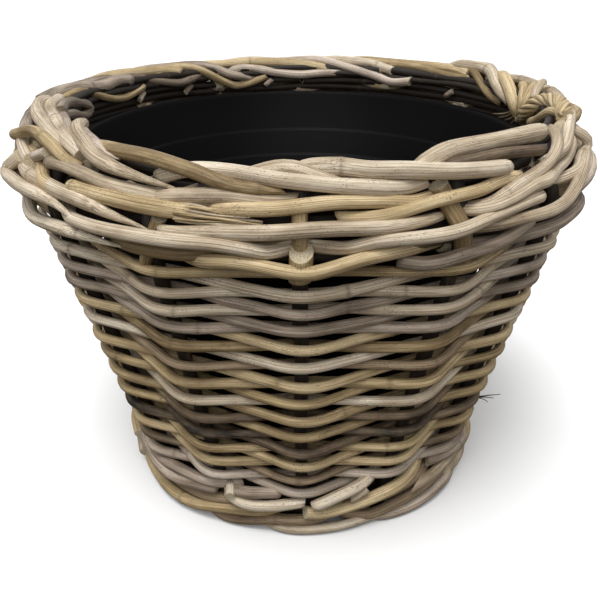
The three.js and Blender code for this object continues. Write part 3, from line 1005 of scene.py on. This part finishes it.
lay("wale_rod_2_a", PALE, 4.7, on_wall(
    (4.48, 270.5, 8), (4.8, 271.5, 10), (5.1, 271, 10), (5.33, 270.5, 10.5), (5.6, 270, 10.5),
    (5.75, 267.5, 9.5), (5.9, 264.5, 8), (6.05, 261.5, 6)), tips=(1.0, 0.12), tip_length=0.045)
lay("wale_rod_2_a", PALE, 4.3, on_wall(
    (6.05, 262, 0), (6.2, 263.5, 7), (6.42, 265, 9), (6.6, 266, 9.3), (6.8, 267, 9.6), (7.0, 268.2, 10),
    (7.21, 268.5, 9.5), (7.42, 268, 9), (7.6, 267.8, 7.5), (7.76, 267, 3), (7.9, 266.5, -3)),
    tips=(0.5, 0.6), tip_length=0.05, knots=[], tone=0.6)
lay("wale_rod_2_b", PALE, 4.5, on_wall(
    (4.65, 281, 13), (4.55, 275, 15), (4.4, 266, 15), (4.5, 263.5, 15), (4.9, 266.5, 15),
    (5.1, 266.5, 13.5), (5.3, 264.5, 11), (5.42, 261, 9.5), (5.56, 256.5, 8)), tips=(1.0, 0.12),
    tip_length=0.045, tone=0.9)
lay("wale_rod_2_b", DARK, 3.6, on_wall(
    (4.39, 272, 9), (4.32, 265.5, 9), (4.52, 264.5, 9), (4.64, 261.5, 6)))
lay("wale_rod_2_b", PALE, 3.8, on_wall(
    (7.95, 258, -6), (8.2, 259.5, 6), (8.45, 260.5, 9), (8.7, 260, 9.5), (8.88, 261.5, 11),
    (9.05, 265.5, 12), (9.2, 271, 13), (9.35, 275, 13), (9.6, 278, 12), (9.85, 282, 8)))
lay("wale_rod_2_b", GREY, 3.8, on_wall(
    (9.15, 262, 9), (9.35, 266.5, 13), (9.5, 270, 13.5), (9.75, 271, 11), (10, 270, 5)))
lay("wale_rod_2_c", GOLD, 4.7, on_wall(
    (5.4, 274.5, 9.5), (5.7, 275, 10), (6.0, 274.5, 10), (6.25, 274.1, 9.5), (6.4, 273.5, 9.3)),
    cuts=(0.3, 0.6), tips=(1.0, 0.9), tip_length=0.02, knots=[0.004], tone=0.7)
lay("wale_rod_2_c", PALE, 3.9, on_wall(
    (7.96, 267.5, -5), (8.03, 269, 3), (8.1, 270.5, 9.5), (8.2, 271.7, 11.2), (8.35, 273.5, 11.5),
    (8.54, 276, 11.5), (8.7, 276.3, 12)) + on_roll((8.95, -32, 14), (9.1, -28, 13), (9.17, -8, 12.5),
    (9.22, 12, 12), (9.3, 35, 10)), tone=0.7)
lay("wale_rod_2_c", PALE, 3.4, on_wall(
    (6.3, 273.9, 9.4), (6.45, 273.1, 9), (6.6, 272.5, 8.6), (6.78, 271.6, 8)), cuts=(0, 0),
    tips=(1.0, 0.12), tip_length=0.05, knots=[], tone=0.4)
print("lower rods of the top bands laid at the front")

# %% [markdown]
# The gold rod at the left was torn instead of cut, so it ends in a fray: its fibres stand apart
# and end at different lengths. The end could be split into strips, but thin rods laid in a ring
# round the stump need no new tool, and each fibre keeps its own thickness and colour.

# %% Frayed end of a band rod
FIBRES = 26
FRAY_RADIUS = 3.9
FRAY_NARROWS = 0.6
SHORTEST_FIBRE_ENDS = 6.5
FIBRE_LENGTHS = 9
LENGTH_STEP = 0.035
FIBRE_LOOKS = [GOLD, PALE, DARK, PALE, GOLD]
for fibre in range(FIBRES):
    turn = fibre / FIBRES * 2 * math.pi
    up, out = FRAY_RADIUS * math.sin(turn), FRAY_RADIUS * math.cos(turn)
    end = SHORTEST_FIBRE_ENDS + LENGTH_STEP * (fibre * 5 % FIBRE_LENGTHS)
    places = on_wall(
        (6.25, 274.1 + up, 9.5 + out), (6.42, 273.3 + up, 9.2 + out),
        (end, 272.1 + up * FRAY_NARROWS, 8.8 + out * FRAY_NARROWS))
    lay("wale_rod_2_c", FIBRE_LOOKS[fibre % len(FIBRE_LOOKS)], 0.8, places,
        sides=6, tips=(1.0, 0.3), knots=[], waviness=0.0008, tone=0.4)
print("frayed end of", FIBRES, "fibres")

# %% [markdown]
# Above the bands the border's own rods come down outside and slip in again, so the upper rods
# belong to both. They lie over the lower ones, and where two cross, the one on top has the
# larger distance out. The last four fill the band round the corner on the left, which the
# photograph shows only from its edge.

# %% Top bands at the front, upper rods
lay("border_rod_06", GOLD, 3.7, on_wall(
    (6.3, 276, -4), (6.45, 275.5, 5), (6.6, 276.5, 9), (6.85, 278, 9.5), (7.25, 280.5, 9.2),
    (7.5, 280.5, 8.5), (7.65, 278, 6), (7.85, 276, -3), (8.05, 276, -8)), knots=[], tone=0.95)
lay("border_rod_08", GOLD, 3.6, on_wall(
    (7.2, 271, 1), (7.33, 272.5, 6), (7.44, 273.5, 8.5), (7.56, 274.5, 8.7), (7.71, 276.5, 8.7),
    (7.88, 278.5, 9), (8.1, 280.5, 9.5)) + on_roll((8.28, -13, 11), (8.48, -13, 11)), cuts=(0.5, 0.2),
    tips=(1.0, 0.6), tip_length=0.012, knots=[], tone=0.85)
lay("border_rod_09", PALE, 3.6, on_wall(
    (8.0, 269, -5), (8.05, 270.5, 3), (8.12, 272.3, 9.5), (8.24, 274.5, 10.5),
    (8.43, 279, 10.5)) + on_roll((8.69, -19, 12), (8.81, -4, 12), (8.93, 20, 12), (9.02, 46, 12),
    (9.08, 70, 12.5), (9.12, 92, 12)), tone=0.5)
lay("border_rod_05", PALE, 4.4, on_roll(
    (5.75, -60, 7), (5.99, -50, 11), (6.13, -32, 11), (6.25, -23, 11), (6.45, -15, 11), (6.6, -15, 11),
    (6.72, -26, 10), (6.85, -35, 9.5), (7.0, -50, 7)), knots=[])
lay("border_rod_04", PALE, 4.1, on_roll(
    (5.09, -6, 12.5), (5.3, 0, 12.5), (5.5, -5, 12.5), (5.7, -14, 12.5), (5.95, -24, 12.5),
    (6.1, -37, 11.5), (6.22, -50, 9), (6.35, -50, 4)), cuts=(0.2, 0.5), knots=[], tone=0.3)
lay("wale_rod_1_a", GOLD, 4.3, on_wall(
    (3.1, 253, -8), (3.45, 253, 2), (3.75, 252, 8.5), (4.0, 251, 10.3), (4.25, 249.5, 9), (4.5, 247, 3),
    (4.8, 246, -6)))
lay("wale_rod_1_b", GREY, 4.4, on_wall(
    (3.1, 262, -8), (3.45, 261.5, 3), (3.75, 260.5, 8.5), (4.0, 259.5, 10.3), (4.25, 258, 9),
    (4.6, 255.5, 6), (4.9, 255, -4)))
lay("wale_rod_2_a", GOLD, 4.2, on_wall(
    (3.2, 270, -7), (3.5, 269.5, 3), (3.8, 269, 9), (4.0, 268.5, 10), (4.2, 267.5, 9), (4.45, 266, 3),
    (4.7, 265, -5)))
lay("wale_rod_2_b", GREY, 4.2, on_wall(
    (3.2, 277, -7), (3.5, 277, 3), (3.8, 276.5, 9), (4.05, 275.5, 10.5), (4.3, 274, 9), (4.6, 273, 1)))
print("upper rods of the top bands laid at the front")

# %% [markdown]
# The border finishes the basket: each rod comes up inside, is laid along the top and is tucked in
# outside. It could be a plait from a formula, but the real one is loose and no two crossings are
# the same. In front the rods are pale and thick, and the thickest ends on top in a clean cut.

# %% Border at the front
lay("border_rod_06", PALE, 4.1, on_roll(
    (6.02, 80, 0), (6.2, 74, 6), (6.4, 66, 10), (6.61, 62, 11), (6.79, 49, 11), (6.94, 35, 11),
    (7.18, 19, 11), (7.36, 13, 11), (7.5, 6, 9.5), (7.64, -4, 5), (7.8, -10, -1)), knots=[], tone=0.9)
lay("border_rod_07", PALE, 4.0, on_roll(
    (6.68, 85, 7), (6.84, 96, 10.5), (6.94, 100, 10.5), (7.03, 77, 10), (7.11, 55, 9), (7.19, 35, 7),
    (7.26, 20, 4)), knots=[], tone=0.4)
lay("border_rod_07", PALE, 4.6, on_roll(
    (6.95, 140, 8), (7.02, 110, 10), (7.1, 84, 12), (7.24, 80, 12), (7.4, 60, 12), (7.6, 52, 12),
    (7.95, 35, 12), (8.2, 21, 12), (8.35, 18, 11.5)), cuts=(0.5, 0.2), tips=(1.0, 0.8),
    tip_length=0.006, knots=[0.028], tone=0.8)
lay("border_rod_08", PALE, 5.3, on_roll(
    (7.66, 50, 8), (7.78, 74, 12), (7.9, 95, 13.5), (8.03, 106, 14.5), (8.25, 110, 15), (8.5, 110, 15),
    (8.75, 103, 14.5), (8.9, 95, 14), (8.97, 91, 13.5)), cuts=(0.3, 0.2), tips=(0.7, 0.85),
    tip_length=0.006, knots=[], tone=0.6)
# A darker rattan, whose low tone is also painted shade for the shadow it lies in below the thick pale rod.
lay("border_rod_08", DARK, 3.5, on_roll(
    (7.85, 75, 7), (8.05, 58, 10.5), (8.35, 64, 11), (8.55, 58, 11), (8.78, 40, 11)), tone=0.3)
lay("border_rod_05", GOLD, 4.2, on_roll(
    (4.95, 205, 9), (5.2, 150, 10), (5.5, 110, 11), (5.75, 90, 11.5), (5.99, 74, 12), (6.2, 58, 12.5),
    (6.38, 46, 12), (6.56, 24, 11.5), (6.73, 13, 10.5), (6.92, 2, 8)), tips=(1.0, 0.4), tip_length=0.04,
    tone=0.0)
print("border laid at the front")

# %% [markdown]
# On the left the border turns away from the camera, and its rods are seen along their length.
# Short cut ends of other rods stick out between them on both sides of the roll. Each of those is
# a rod of a few places, because only its end shows.

# %% Border on the left
lay("border_rod_03", PALE, 4.5, on_roll(
    (3.5, 60, 10), (3.8, 72, 12.5), (4.2, 83, 12), (4.66, 85, 11.5), (4.92, 72, 11), (5.12, 66, 8),
    (5.3, 66, 3), (5.45, 60, -2)), knots=[])
lay("border_rod_03", PALE, 4.8, on_roll(
    (3.4, 99, 8), (3.8, 114, 11), (4.0, 123, 10.5), (4.4, 130, 13), (4.7, 128, 12), (4.95, 109, 10.5),
    (5.15, 80, 10), (5.3, 65, 9), (5.42, 48, 6)), tone=0.7)
lay("border_rod_02", GREY, 3.8, on_roll(
    (4.0, 146, 15), (3.7, 145, 14), (3.45, 148, 13), (3.2, 162, 10), (3.0, 202, 11), (3.1, 220, 13),
    (3.3, 208, 14), (3.6, 180, 14), (4.15, 130, 10)))
lay("border_rod_03", GREY, 3.4, on_roll(
    (4.3, 148, 18), (4.6, 139, 17), (4.9, 122, 15), (5.05, 115, 11), (5.25, 85, 10)))
lay("border_rod_04", PALE, 4.4, on_roll(
    (4.95, 138, 22), (5.08, 116, 18), (5.2, 101, 14), (5.32, 88, 12), (5.6, 45, 12), (5.83, 27, 12),
    (6.05, 11, 12), (6.22, -6, 10.5)), tips=(0.95, 0.2), tip_length=0.045, knots=[], tone=0.4)
lay("border_rod_04", GREY, 3.9, on_roll(
    (5.0, 140, 18), (5.15, 122, 16), (5.3, 108, 14), (5.45, 95, 12), (5.65, 70, 9), (5.75, 62, 8)),
    tips=(1.0, 0.2), tip_length=0.03)
lay("border_rod_04", GOLD, 3.6, on_roll(
    (4.34, 3, 18), (4.61, 27, 17), (4.7, 41, 15.5), (4.85, 49, 15), (5.0, 45, 14), (5.15, 35, 13.5),
    (5.3, 18, 12.5), (5.45, 0, 9)), cuts=(0.3, 0.5))
lay("border_rod_04", PALE, 4.4, on_roll(
    (4.4, 20, 11), (4.5, 8, 13.5), (4.6, -3, 15), (4.7, -20, 16), (4.8, -30, 17)), cuts=(0.5, 0.6),
    knots=[])
lay("border_rod_04", GREY, 3.4, on_roll(
    (4.82, -16, 14), (4.95, 2, 13.5), (5.07, 20, 12.5)), **PLAIN_CUT)
lay("border_rod_04", DARK, 3.6, on_roll((4.89, 42, 9), (4.81, 26, 9), (4.83, 16, 12)), **PLAIN_CUT)
lay("border_rod_04", GOLD, 4.6, on_roll(
    (4.62, -10, 11), (4.85, -38, 12)) + on_wall((5.1, 272.5, 11), (5.32, 269.5, 9)),
    knots=[0.006, 0.013, 0.02, 0.027], tone=0.5)
print("border laid on the left")

# %% [markdown]
# On the right the rods climb steeply from outside over the roll, and the border is at its highest.
# They lie in two layers there, so the upper ones have the larger distance from the roll's middle.

# %% Border on the right
lay("border_rod_10", PALE, 3.7, on_roll(
    (8.75, -15, 9), (8.97, 5, 10.5), (9.1, 16, 11.5), (9.17, 38, 12.5), (9.3, 54, 12.5), (9.45, 66, 13),
    (9.7, 76, 13.5), (9.9, 90, 12), (10.1, 110, 10)), tone=0.8)
lay("border_rod_09", PALE, 3.3, on_roll(
    (9.45, 45, 11), (9.5, 10, 16.5), (9.55, -12, 18.5), (9.4, -28, 18)) + on_wall((9.2, 273, 11),
    (9.05, 270, 5), (8.9, 267, -4)), tone=0.7)
lay("border_rod_10", GOLD, 3.7, on_roll(
    (10.7, 235, 13), (10.45, 205, 14), (10.17, 177, 14), (9.9, 145, 14), (9.84, 120, 14),
    (9.8, 100, 11)), tone=0.9)
lay("border_rod_11", GOLD, 5.1, on_roll(
    (11.5, 95, 13), (11.38, 108, 15), (11.28, 123, 15), (11.17, 138, 14.5), (11.02, 163, 14),
    (10.9, 191, 14), (10.93, 232, 13)), tone=0.8, knots=[])
lay("border_rod_11", GOLD, 3.7, on_roll(
    (11.1, 100, 12), (10.95, 116, 14), (10.82, 150, 14), (10.78, 183, 14), (10.85, 215, 14)), tone=0.7)
lay("border_rod_11", PALE, 4.0, on_roll(
    (10.62, 150, 12), (10.66, 136, 14), (10.7, 119, 15), (10.78, 93, 16), (10.85, 74, 18)),
    cuts=(0.3, 0.2), tips=(1.0, 0.8), tip_length=0.005, knots=[], tone=0.7)
lay("border_rod_11", PALE, 3.5, on_roll(
    (11.7, 90, 10), (11.5, 100, 13), (11.3, 100, 15), (11.1, 98, 16), (10.9, 88, 15), (10.7, 75, 13)))
print("border laid on the right")

# %% [markdown]
# At the back the border shows from inside: thin rods come over the top from outside, cross each
# other and end behind the liner's rim, and a few cut stubs look out below them. All of that shows
# over the dark liner, so these rods were laid one by one too.

# %% Border at the back
lay("border_rod_03", GOLD, 3.2, on_roll(
    (3.35, 100, 8), (3.08, 124, 11), (2.8, 174, 11), (2.62, 196, 11), (2.43, 211, 11), (2.3, 208, 11),
    (2.05, 175, 10)))
lay("border_rod_02", GREY, 5.0, on_roll(
    (3.6, 45, 12), (3.35, 70, 12.5), (3.1, 95, 12), (2.83, 127, 11), (2.6, 133, 11), (2.4, 124, 11),
    (2.21, 140, 11)))
lay("border_rod_02", GOLD, 4.3, on_roll(
    (3.5, 0, 10), (3.1, 25, 11), (2.6, 55, 12), (2.34, 78, 12), (1.85, 105, 12), (1.65, 116, 12),
    (1.48, 140, 12)))
lay("border_rod_02", GREY, 3.6, on_roll(
    (2.3, 100, 9), (2.14, 119, 11), (2.03, 138, 11), (1.81, 166, 11), (1.56, 186, 11), (1.4, 175, 11),
    (1.2, 140, 8)), tone=-0.2)
lay("border_rod_01", GREY, 4.0, on_roll(
    (3.1, 0, 10.5), (2.6, 25, 11), (2.1, 55, 12), (1.79, 76, 12), (1.5, 78, 12), (1.33, 85, 12),
    (1.18, 108, 12), (1.03, 137, 12), (0.9, 165, 12), (0.6, 205, 9)), tone=0.3)
lay("border_rod_01", GOLD, 3.5, on_roll(
    (1.85, 130, 8), (1.65, 112, 12), (1.48, 106, 13), (1.33, 124, 13), (1.2, 150, 13), (1.03, 185, 13),
    (0.91, 207, 12), (0.79, 228, 12), (0.57, 210, 12), (0.4, 180, 9)))
lay("border_rod_14", GREY, 3.8, on_roll(
    (1.05, 165, 8), (0.86, 151, 11), (0.68, 136, 11), (0.3, 164, 11), (0, 180, 11), (-0.2, 176, 11),
    (-0.6, 160, 8)), tone=0.9)
lay("border_rod_14", GOLD, 4.5, on_roll(
    (2.8, -15, 10), (2.3, 5, 10.5), (1.7, 30, 11), (1.2, 60, 12), (0.89, 110, 12), (0.7, 111, 12),
    (0.1, 126, 12), (-0.19, 136, 12), (-0.35, 150, 9)), tone=0.8)
lay("border_rod_13", GREY, 4.0, on_roll(
    (1.4, 10, 10.5), (0.8, 40, 11), (0.35, 70, 11), (0.03, 90, 12), (-0.2, 88, 12), (-0.43, 131, 12),
    (-0.9, 171, 12), (-1.13, 195, 11), (-1.4, 183, 11)), tone=1.0)
lay("border_rod_13", PALE, 4.2, on_roll(
    (1.1, 5, 10.5), (0.5, 35, 11), (0.05, 60, 11), (-0.31, 82, 12), (-0.45, 84, 12), (-0.81, 115, 12),
    (-1.0, 135, 12), (-1.16, 150, 12)), tone=0.8)
lay("border_rod_12", GOLD, 4.6, on_roll(
    (0.3, 15, 11), (-0.3, 45, 12), (-0.7, 70, 12), (-0.93, 90, 12), (-1.2, 82, 12), (-1.65, 80, 12),
    (-1.9, 85, 12), (-2.1, 110, 11)), tone=0.6)
lay("border_rod_12", GOLD, 3.1, on_roll(
    (-0.9, 95, 9), (-1.1, 98, 11), (-1.37, 107, 11), (-1.52, 122, 11), (-1.72, 132, 11),
    (-1.92, 133, 11), (-2.13, 125, 10)))
lay("border_rod_11", GOLD, 3.5, on_roll(
    (-1.6, 30, 12), (-1.9, 75, 14.5), (-2.05, 88, 14.5), (-2.2, 114, 13), (-2.35, 150, 12),
    (-2.46, 172, 12), (-2.58, 190, 12), (-2.75, 205, 11)))
lay("border_rod_11", PALE, 4.8, on_roll(
    (-1.7, 45, 14), (-1.9, 82, 17), (-2.1, 86, 17.6), (-2.3, 93, 17.6), (-2.45, 110, 16.5),
    (-2.54, 128, 15), (-2.68, 149, 14), (-2.8, 163, 14), (-3.0, 185, 12)), tone=0.5)
STUB_BAYS = [2.05, 1.38, 0.35, -1.95]
for bay in STUB_BAYS:
    lay("border_rod_01", GREY, 2.5, on_roll((bay, 205, 10), (bay + 0.1, 225, 15)), **PLAIN_CUT)
print("border laid at the back")

# %% [markdown]
# From outside, the back of the border is a roll like the one at the front: each rod starts near
# the top and runs down the outside. The photograph doesn't show it, so a loop lays one rod to a
# bay, each a little different from the last.

# %% Border at the back, outside
# How a rod runs: bays from its start, turn round the roll and distance from the roll's middle.
OUTSIDE_PROFILE = [(0.0, 75, 10.0), (0.5, 62, 12.0), (1.0, 40, 12.0), (1.6, 10, 11.5), (2.1, -18, 10.5)]
OUTSIDE_RODS = [8, 9, 10, 11, 12, 13, 0, 1]
FROM_UPRIGHT_TO_START = 1.2
UNEVEN_START = 0.12
UNEVEN_TURN = 5
UNEVEN_LIFT = 0.6
OUTSIDE_SPREAD = (0.85, 1.02)
for number in OUTSIDE_RODS:
    start = number + FROM_UPRIGHT_TO_START + random.uniform(-UNEVEN_START, UNEVEN_START)
    places = []
    for along, turn, lift in OUTSIDE_PROFILE:
        uneven_turn = turn + random.uniform(-UNEVEN_TURN, UNEVEN_TURN)
        uneven_lift = lift + random.uniform(-UNEVEN_LIFT, UNEVEN_LIFT)
        places.append(roll(start + along, uneven_turn, uneven_lift))
    radius = BORDER_RADIUS * random.uniform(*OUTSIDE_SPREAD)
    lay(border_nodes[number], BAND_LOOKS[number % 3], radius, places, waviness=0.0008)
print("border laid outside at the back")

# %% [markdown]
# Where the border was closed, at the back right, a strand of seven twisted fibres and a thinner
# tie of four hold the rods. One round rod with a twisted pattern would look like a stick, so each
# fibre is a rod of its own that circles the strand's path.

# %% Closing strand and tie
STRAND_TWIST = 0.07
FIBRE_OVERLAP = 1.15


def twist(name, fibres, thickness, middle):
    """Fibres laid round each other along a path."""
    lengths = path_lengths(middle)
    outward, upward = directions(middle)
    radius = thickness * FIBRE_OVERLAP * math.sin(math.pi / fibres)
    for fibre in range(fibres):
        turn = (lengths / STRAND_TWIST + fibre / fibres) * 2 * math.pi
        offset = outward * np.cos(turn)[:, None] + upward * np.sin(turn)[:, None]
        path = middle + offset * thickness
        make_rod(f"{name}_{fibre + 1}", ["border_rod_09"], GOLD, radius, path, sides=8, knots=[], tone=0.8)


twist("closing_strand", 7, 3.8 * MM, through(on_roll(
    (10.9, 235, 14), (10.61, 182, 14), (10.47, 151, 14), (10.33, 126, 14.5), (10.18, 112, 15),
    (9.96, 101, 15), (9.71, 92, 15), (9.5, 82, 13))))
twist("closing_tie", 4, 2.0 * MM, through(on_roll(
    (10.85, 101, 15.5), (10.69, 137, 16), (10.64, 160, 16), (10.69, 189, 16), (10.85, 222, 16))))
print("closing strand and tie laid")

# %% [markdown]
# The strand's lower end spreads into loose fibres, and a small dark tuft sticks out of the wall on
# the right. Hair would do for a brush, but these few are as stiff as twigs, so they are thin rods.

# %% Loose fibres
LOOSE_FIBRE = {"sides": 6, "tips": (1.0, 0.4), "knots": []}
STRAND_END_FIBRES = 6
SPREAD_STEP = 0.05
for fibre in range(STRAND_END_FIBRES):
    spread = fibre * SPREAD_STEP
    places = on_roll(
        (10.75 + spread, 205, 15), (10.85 + spread, 235 - 4 * fibre, 17),
        (10.9 + 1.6 * spread, 250 - 6 * fibre, 21))
    lay("border_rod_09", DARK, 0.9, places, tone=1.0, **LOOSE_FIBRE)

# The height of each fibre's tip and how far it reaches out.
TUFT_TIPS = [(74, 16), (78, 19), (82, 22)]
for fibre, (height, reach) in enumerate(TUFT_TIPS):
    places = on_wall((9.4, 76, 6), (9.42, 77 + fibre, 11), (9.43 + 0.02 * fibre, height, reach))
    lay("weaver_a_2", DARK, 0.7, places, waviness=0.0, **LOOSE_FIBRE)
print("loose fibres", STRAND_END_FIBRES + len(TUFT_TIPS))

# %% [markdown]
# The liner pot keeps the soil off the rattan. Its black plastic is smooth and a little dull. A
# plain dark colour would do from far away, but a haze and a fine grain let the lamps play on it.

# %% Liner plastic
BLACK = (0.0012, 0.0012, 0.0013, 1.0)
WORN_BLACK = (0.0032, 0.0032, 0.0034, 1.0)
GRAIN = 900.0
HAZE = 9.0


def liner_plastic():
    paint = Paint(bpy.data.materials.new("liner_plastic"))
    place = paint.node("ShaderNodeTexCoord", {}, {}, "Object")
    grain = paint.node("ShaderNodeTexNoise", {}, {"Vector": place, "Scale": GRAIN, "Detail": 2.0})
    haze = paint.node("ShaderNodeTexNoise", {}, {"Vector": place, "Scale": HAZE, "Detail": 3.0})
    return paint.finish({
        "Base Color": paint.mix(haze, BLACK, WORN_BLACK),
        "Roughness": 0.4 + 0.14 * haze,
        "Normal": paint.bump(grain, strength=0.12, distance=0.0003),
        "Specular IOR Level": 0.1,
    })


black_plastic = liner_plastic()
print("liner finish", black_plastic.name)

# %% [markdown]
# The pot is a thin shell with a tapered wall, a lip at the rim and two rings round the wall. Such
# a pot is round everywhere, so it is turned from one outline, a list of radius and height pairs
# that runs up outside, over the lip and down inside. That gives the wall its real thickness. A
# small bevel softens the edges, which then catch the light.

# %% Liner pot
def turned_shell(name, profile, sides, material):
    """A closed shell turned round the basket's axis from radius and height pairs."""
    vertices = []
    faces = []
    for radius, height in profile:
        for side in range(sides):
            angle = side / sides * 2 * math.pi
            vertices.append((radius * math.cos(angle), radius * math.sin(angle), height))
    for row in range(len(profile) - 1):
        for side in range(sides):
            after = (side + 1) % sides
            first, second = row * sides, (row + 1) * sides
            faces.append((first + side, first + after, second + after, second + side))
    faces.append(tuple(reversed(range(sides))))
    faces.append(tuple(range((len(profile) - 1) * sides, len(profile) * sides)))
    mesh = bpy.data.meshes.new(name)
    mesh.from_pydata(vertices, [], faces)
    mesh.materials.append(material)
    mesh.polygons.foreach_set("use_smooth", [len(face) == 4 for face in faces])
    return add_object(name, mesh)


LINER_SIDES = 160
LINER_WALL = 0.0018
LINER_FLOOR_RADIUS = 0.112
LIP_WIDTH = 0.003
LIP_HEIGHT = 0.004
LIP_EDGE = 0.0006
RING_DROPS = [0.035, 0.058]
RING_DEPTH = 0.0024
RING_HEIGHT = 0.0012
SOFT_EDGE = 0.0005
liner_low, liner_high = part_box("liner_pot")
rim, rim_height, floor_height = liner_high[0], liner_high[2], liner_low[2]
rim_inner = rim - LIP_WIDTH
taper = (rim_inner - LINER_FLOOR_RADIUS - 2 * RING_DEPTH) / (rim_height - floor_height)
outer = [(LINER_FLOOR_RADIUS, floor_height)]
for count, drop in enumerate(reversed(RING_DROPS)):
    radius = rim_inner - taper * drop - RING_DEPTH * (1 - count)
    outer.append((radius - RING_DEPTH, rim_height - drop - RING_HEIGHT))
    outer.append((radius, rim_height - drop))
outer.append((rim_inner - taper * LIP_HEIGHT, rim_height - LIP_HEIGHT))
lip = [(rim, rim_height - LIP_HEIGHT), (rim, rim_height - LIP_EDGE), (rim - LIP_EDGE, rim_height)]
lip += [(rim_inner - LINER_WALL, rim_height)]
inner = [(radius - LINER_WALL, height + LINER_WALL / 2) for radius, height in reversed(outer[1:])]
floor_edge = [(LINER_FLOOR_RADIUS - LINER_WALL, floor_height + LINER_WALL)]
liner = turned_shell("liner_pot_shell", outer + lip + inner + floor_edge, LINER_SIDES, black_plastic)
edges = liner.modifiers.new("soft_edges", "BEVEL")
edges.width = SOFT_EDGE
edges.segments = 2
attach(liner, "liner")
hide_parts("liner_pot")
print("liner rim", round(rim, 4), "at", round(rim_height, 4))

# %% [markdown]
# The base is a mat of thin rods, held between two round sticks below it and two across them above
# it. The photograph doesn't show it, so it is made as such bases are. The rods lie side by side, end
# on a circle, and wave as they would round seven ribs. The ribs themselves would never show, so
# they aren't made.

# %% Base mat
MAT_ROD = 0.0021
MAT_ROWS_APART = 2.06 * MAT_ROD
MAT_RIBS = 7
MAT_WAVE = 0.0008
MAT_MARGIN = 0.001
MAT_PLACES_APART = 0.004
FEWEST_PLACES = 4
SHORTEST_HALF_ROW = 0.008
mat_low, mat_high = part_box("base_mat")
mat_radius = mat_high[0] - MAT_MARGIN
mat_middle = (mat_low[2] + mat_high[2]) / 2
mat_rows = int(2 * (mat_radius - MAT_ROD) / MAT_ROWS_APART)
rib_gap = 2 * mat_radius / (MAT_RIBS + 1)
for row in range(mat_rows):
    across = (row - (mat_rows - 1) / 2) * MAT_ROWS_APART
    half = math.sqrt(max(mat_radius ** 2 - across ** 2, 0.0)) - MAT_MARGIN
    if half < SHORTEST_HALF_ROW:
        continue
    stations = np.linspace(-half, half, max(int(half / MAT_PLACES_APART), FEWEST_PLACES))
    wave = np.cos(stations / rib_gap * math.pi + row * math.pi) * MAT_WAVE
    line = np.stack([np.full_like(stations, across), stations, mat_middle + wave], axis=1)
    name = f"base_mat_row_{row + 1}"
    make_rod(name, ["base_mat"], DARK, MAT_ROD, line, sides=6, knots=[], waviness=0.0001)
print("base mat of", mat_rows, "rows")

# %% [markdown]
# Each of the four sticks that grip the mat is a straight rod along the longer side of its box in
# the model, a little thinner than the box so that its uneven skin stays inside.

# %% Base sticks
THINNER_THAN_ITS_BOX = 0.93
BASE_STICKS = [f"base_stick_{level}_{number}" for level in ("lower", "upper") for number in (1, 2)]
for node in BASE_STICKS:
    lowest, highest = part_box(node)
    middle = [(near + far) / 2 for near, far in zip(lowest, highest)]
    axis = 0 if highest[0] - lowest[0] > highest[1] - lowest[1] else 1
    ends = np.array([middle, middle])
    ends[:, axis] = lowest[axis], highest[axis]
    radius = (highest[2] - lowest[2]) / 2 * THINNER_THAN_ITS_BOX
    make_rod(f"{node}_round", [node], DARK, radius, resample(ends, RING_SPACING), waviness=0.0)
print("base sticks", len(BASE_STICKS))
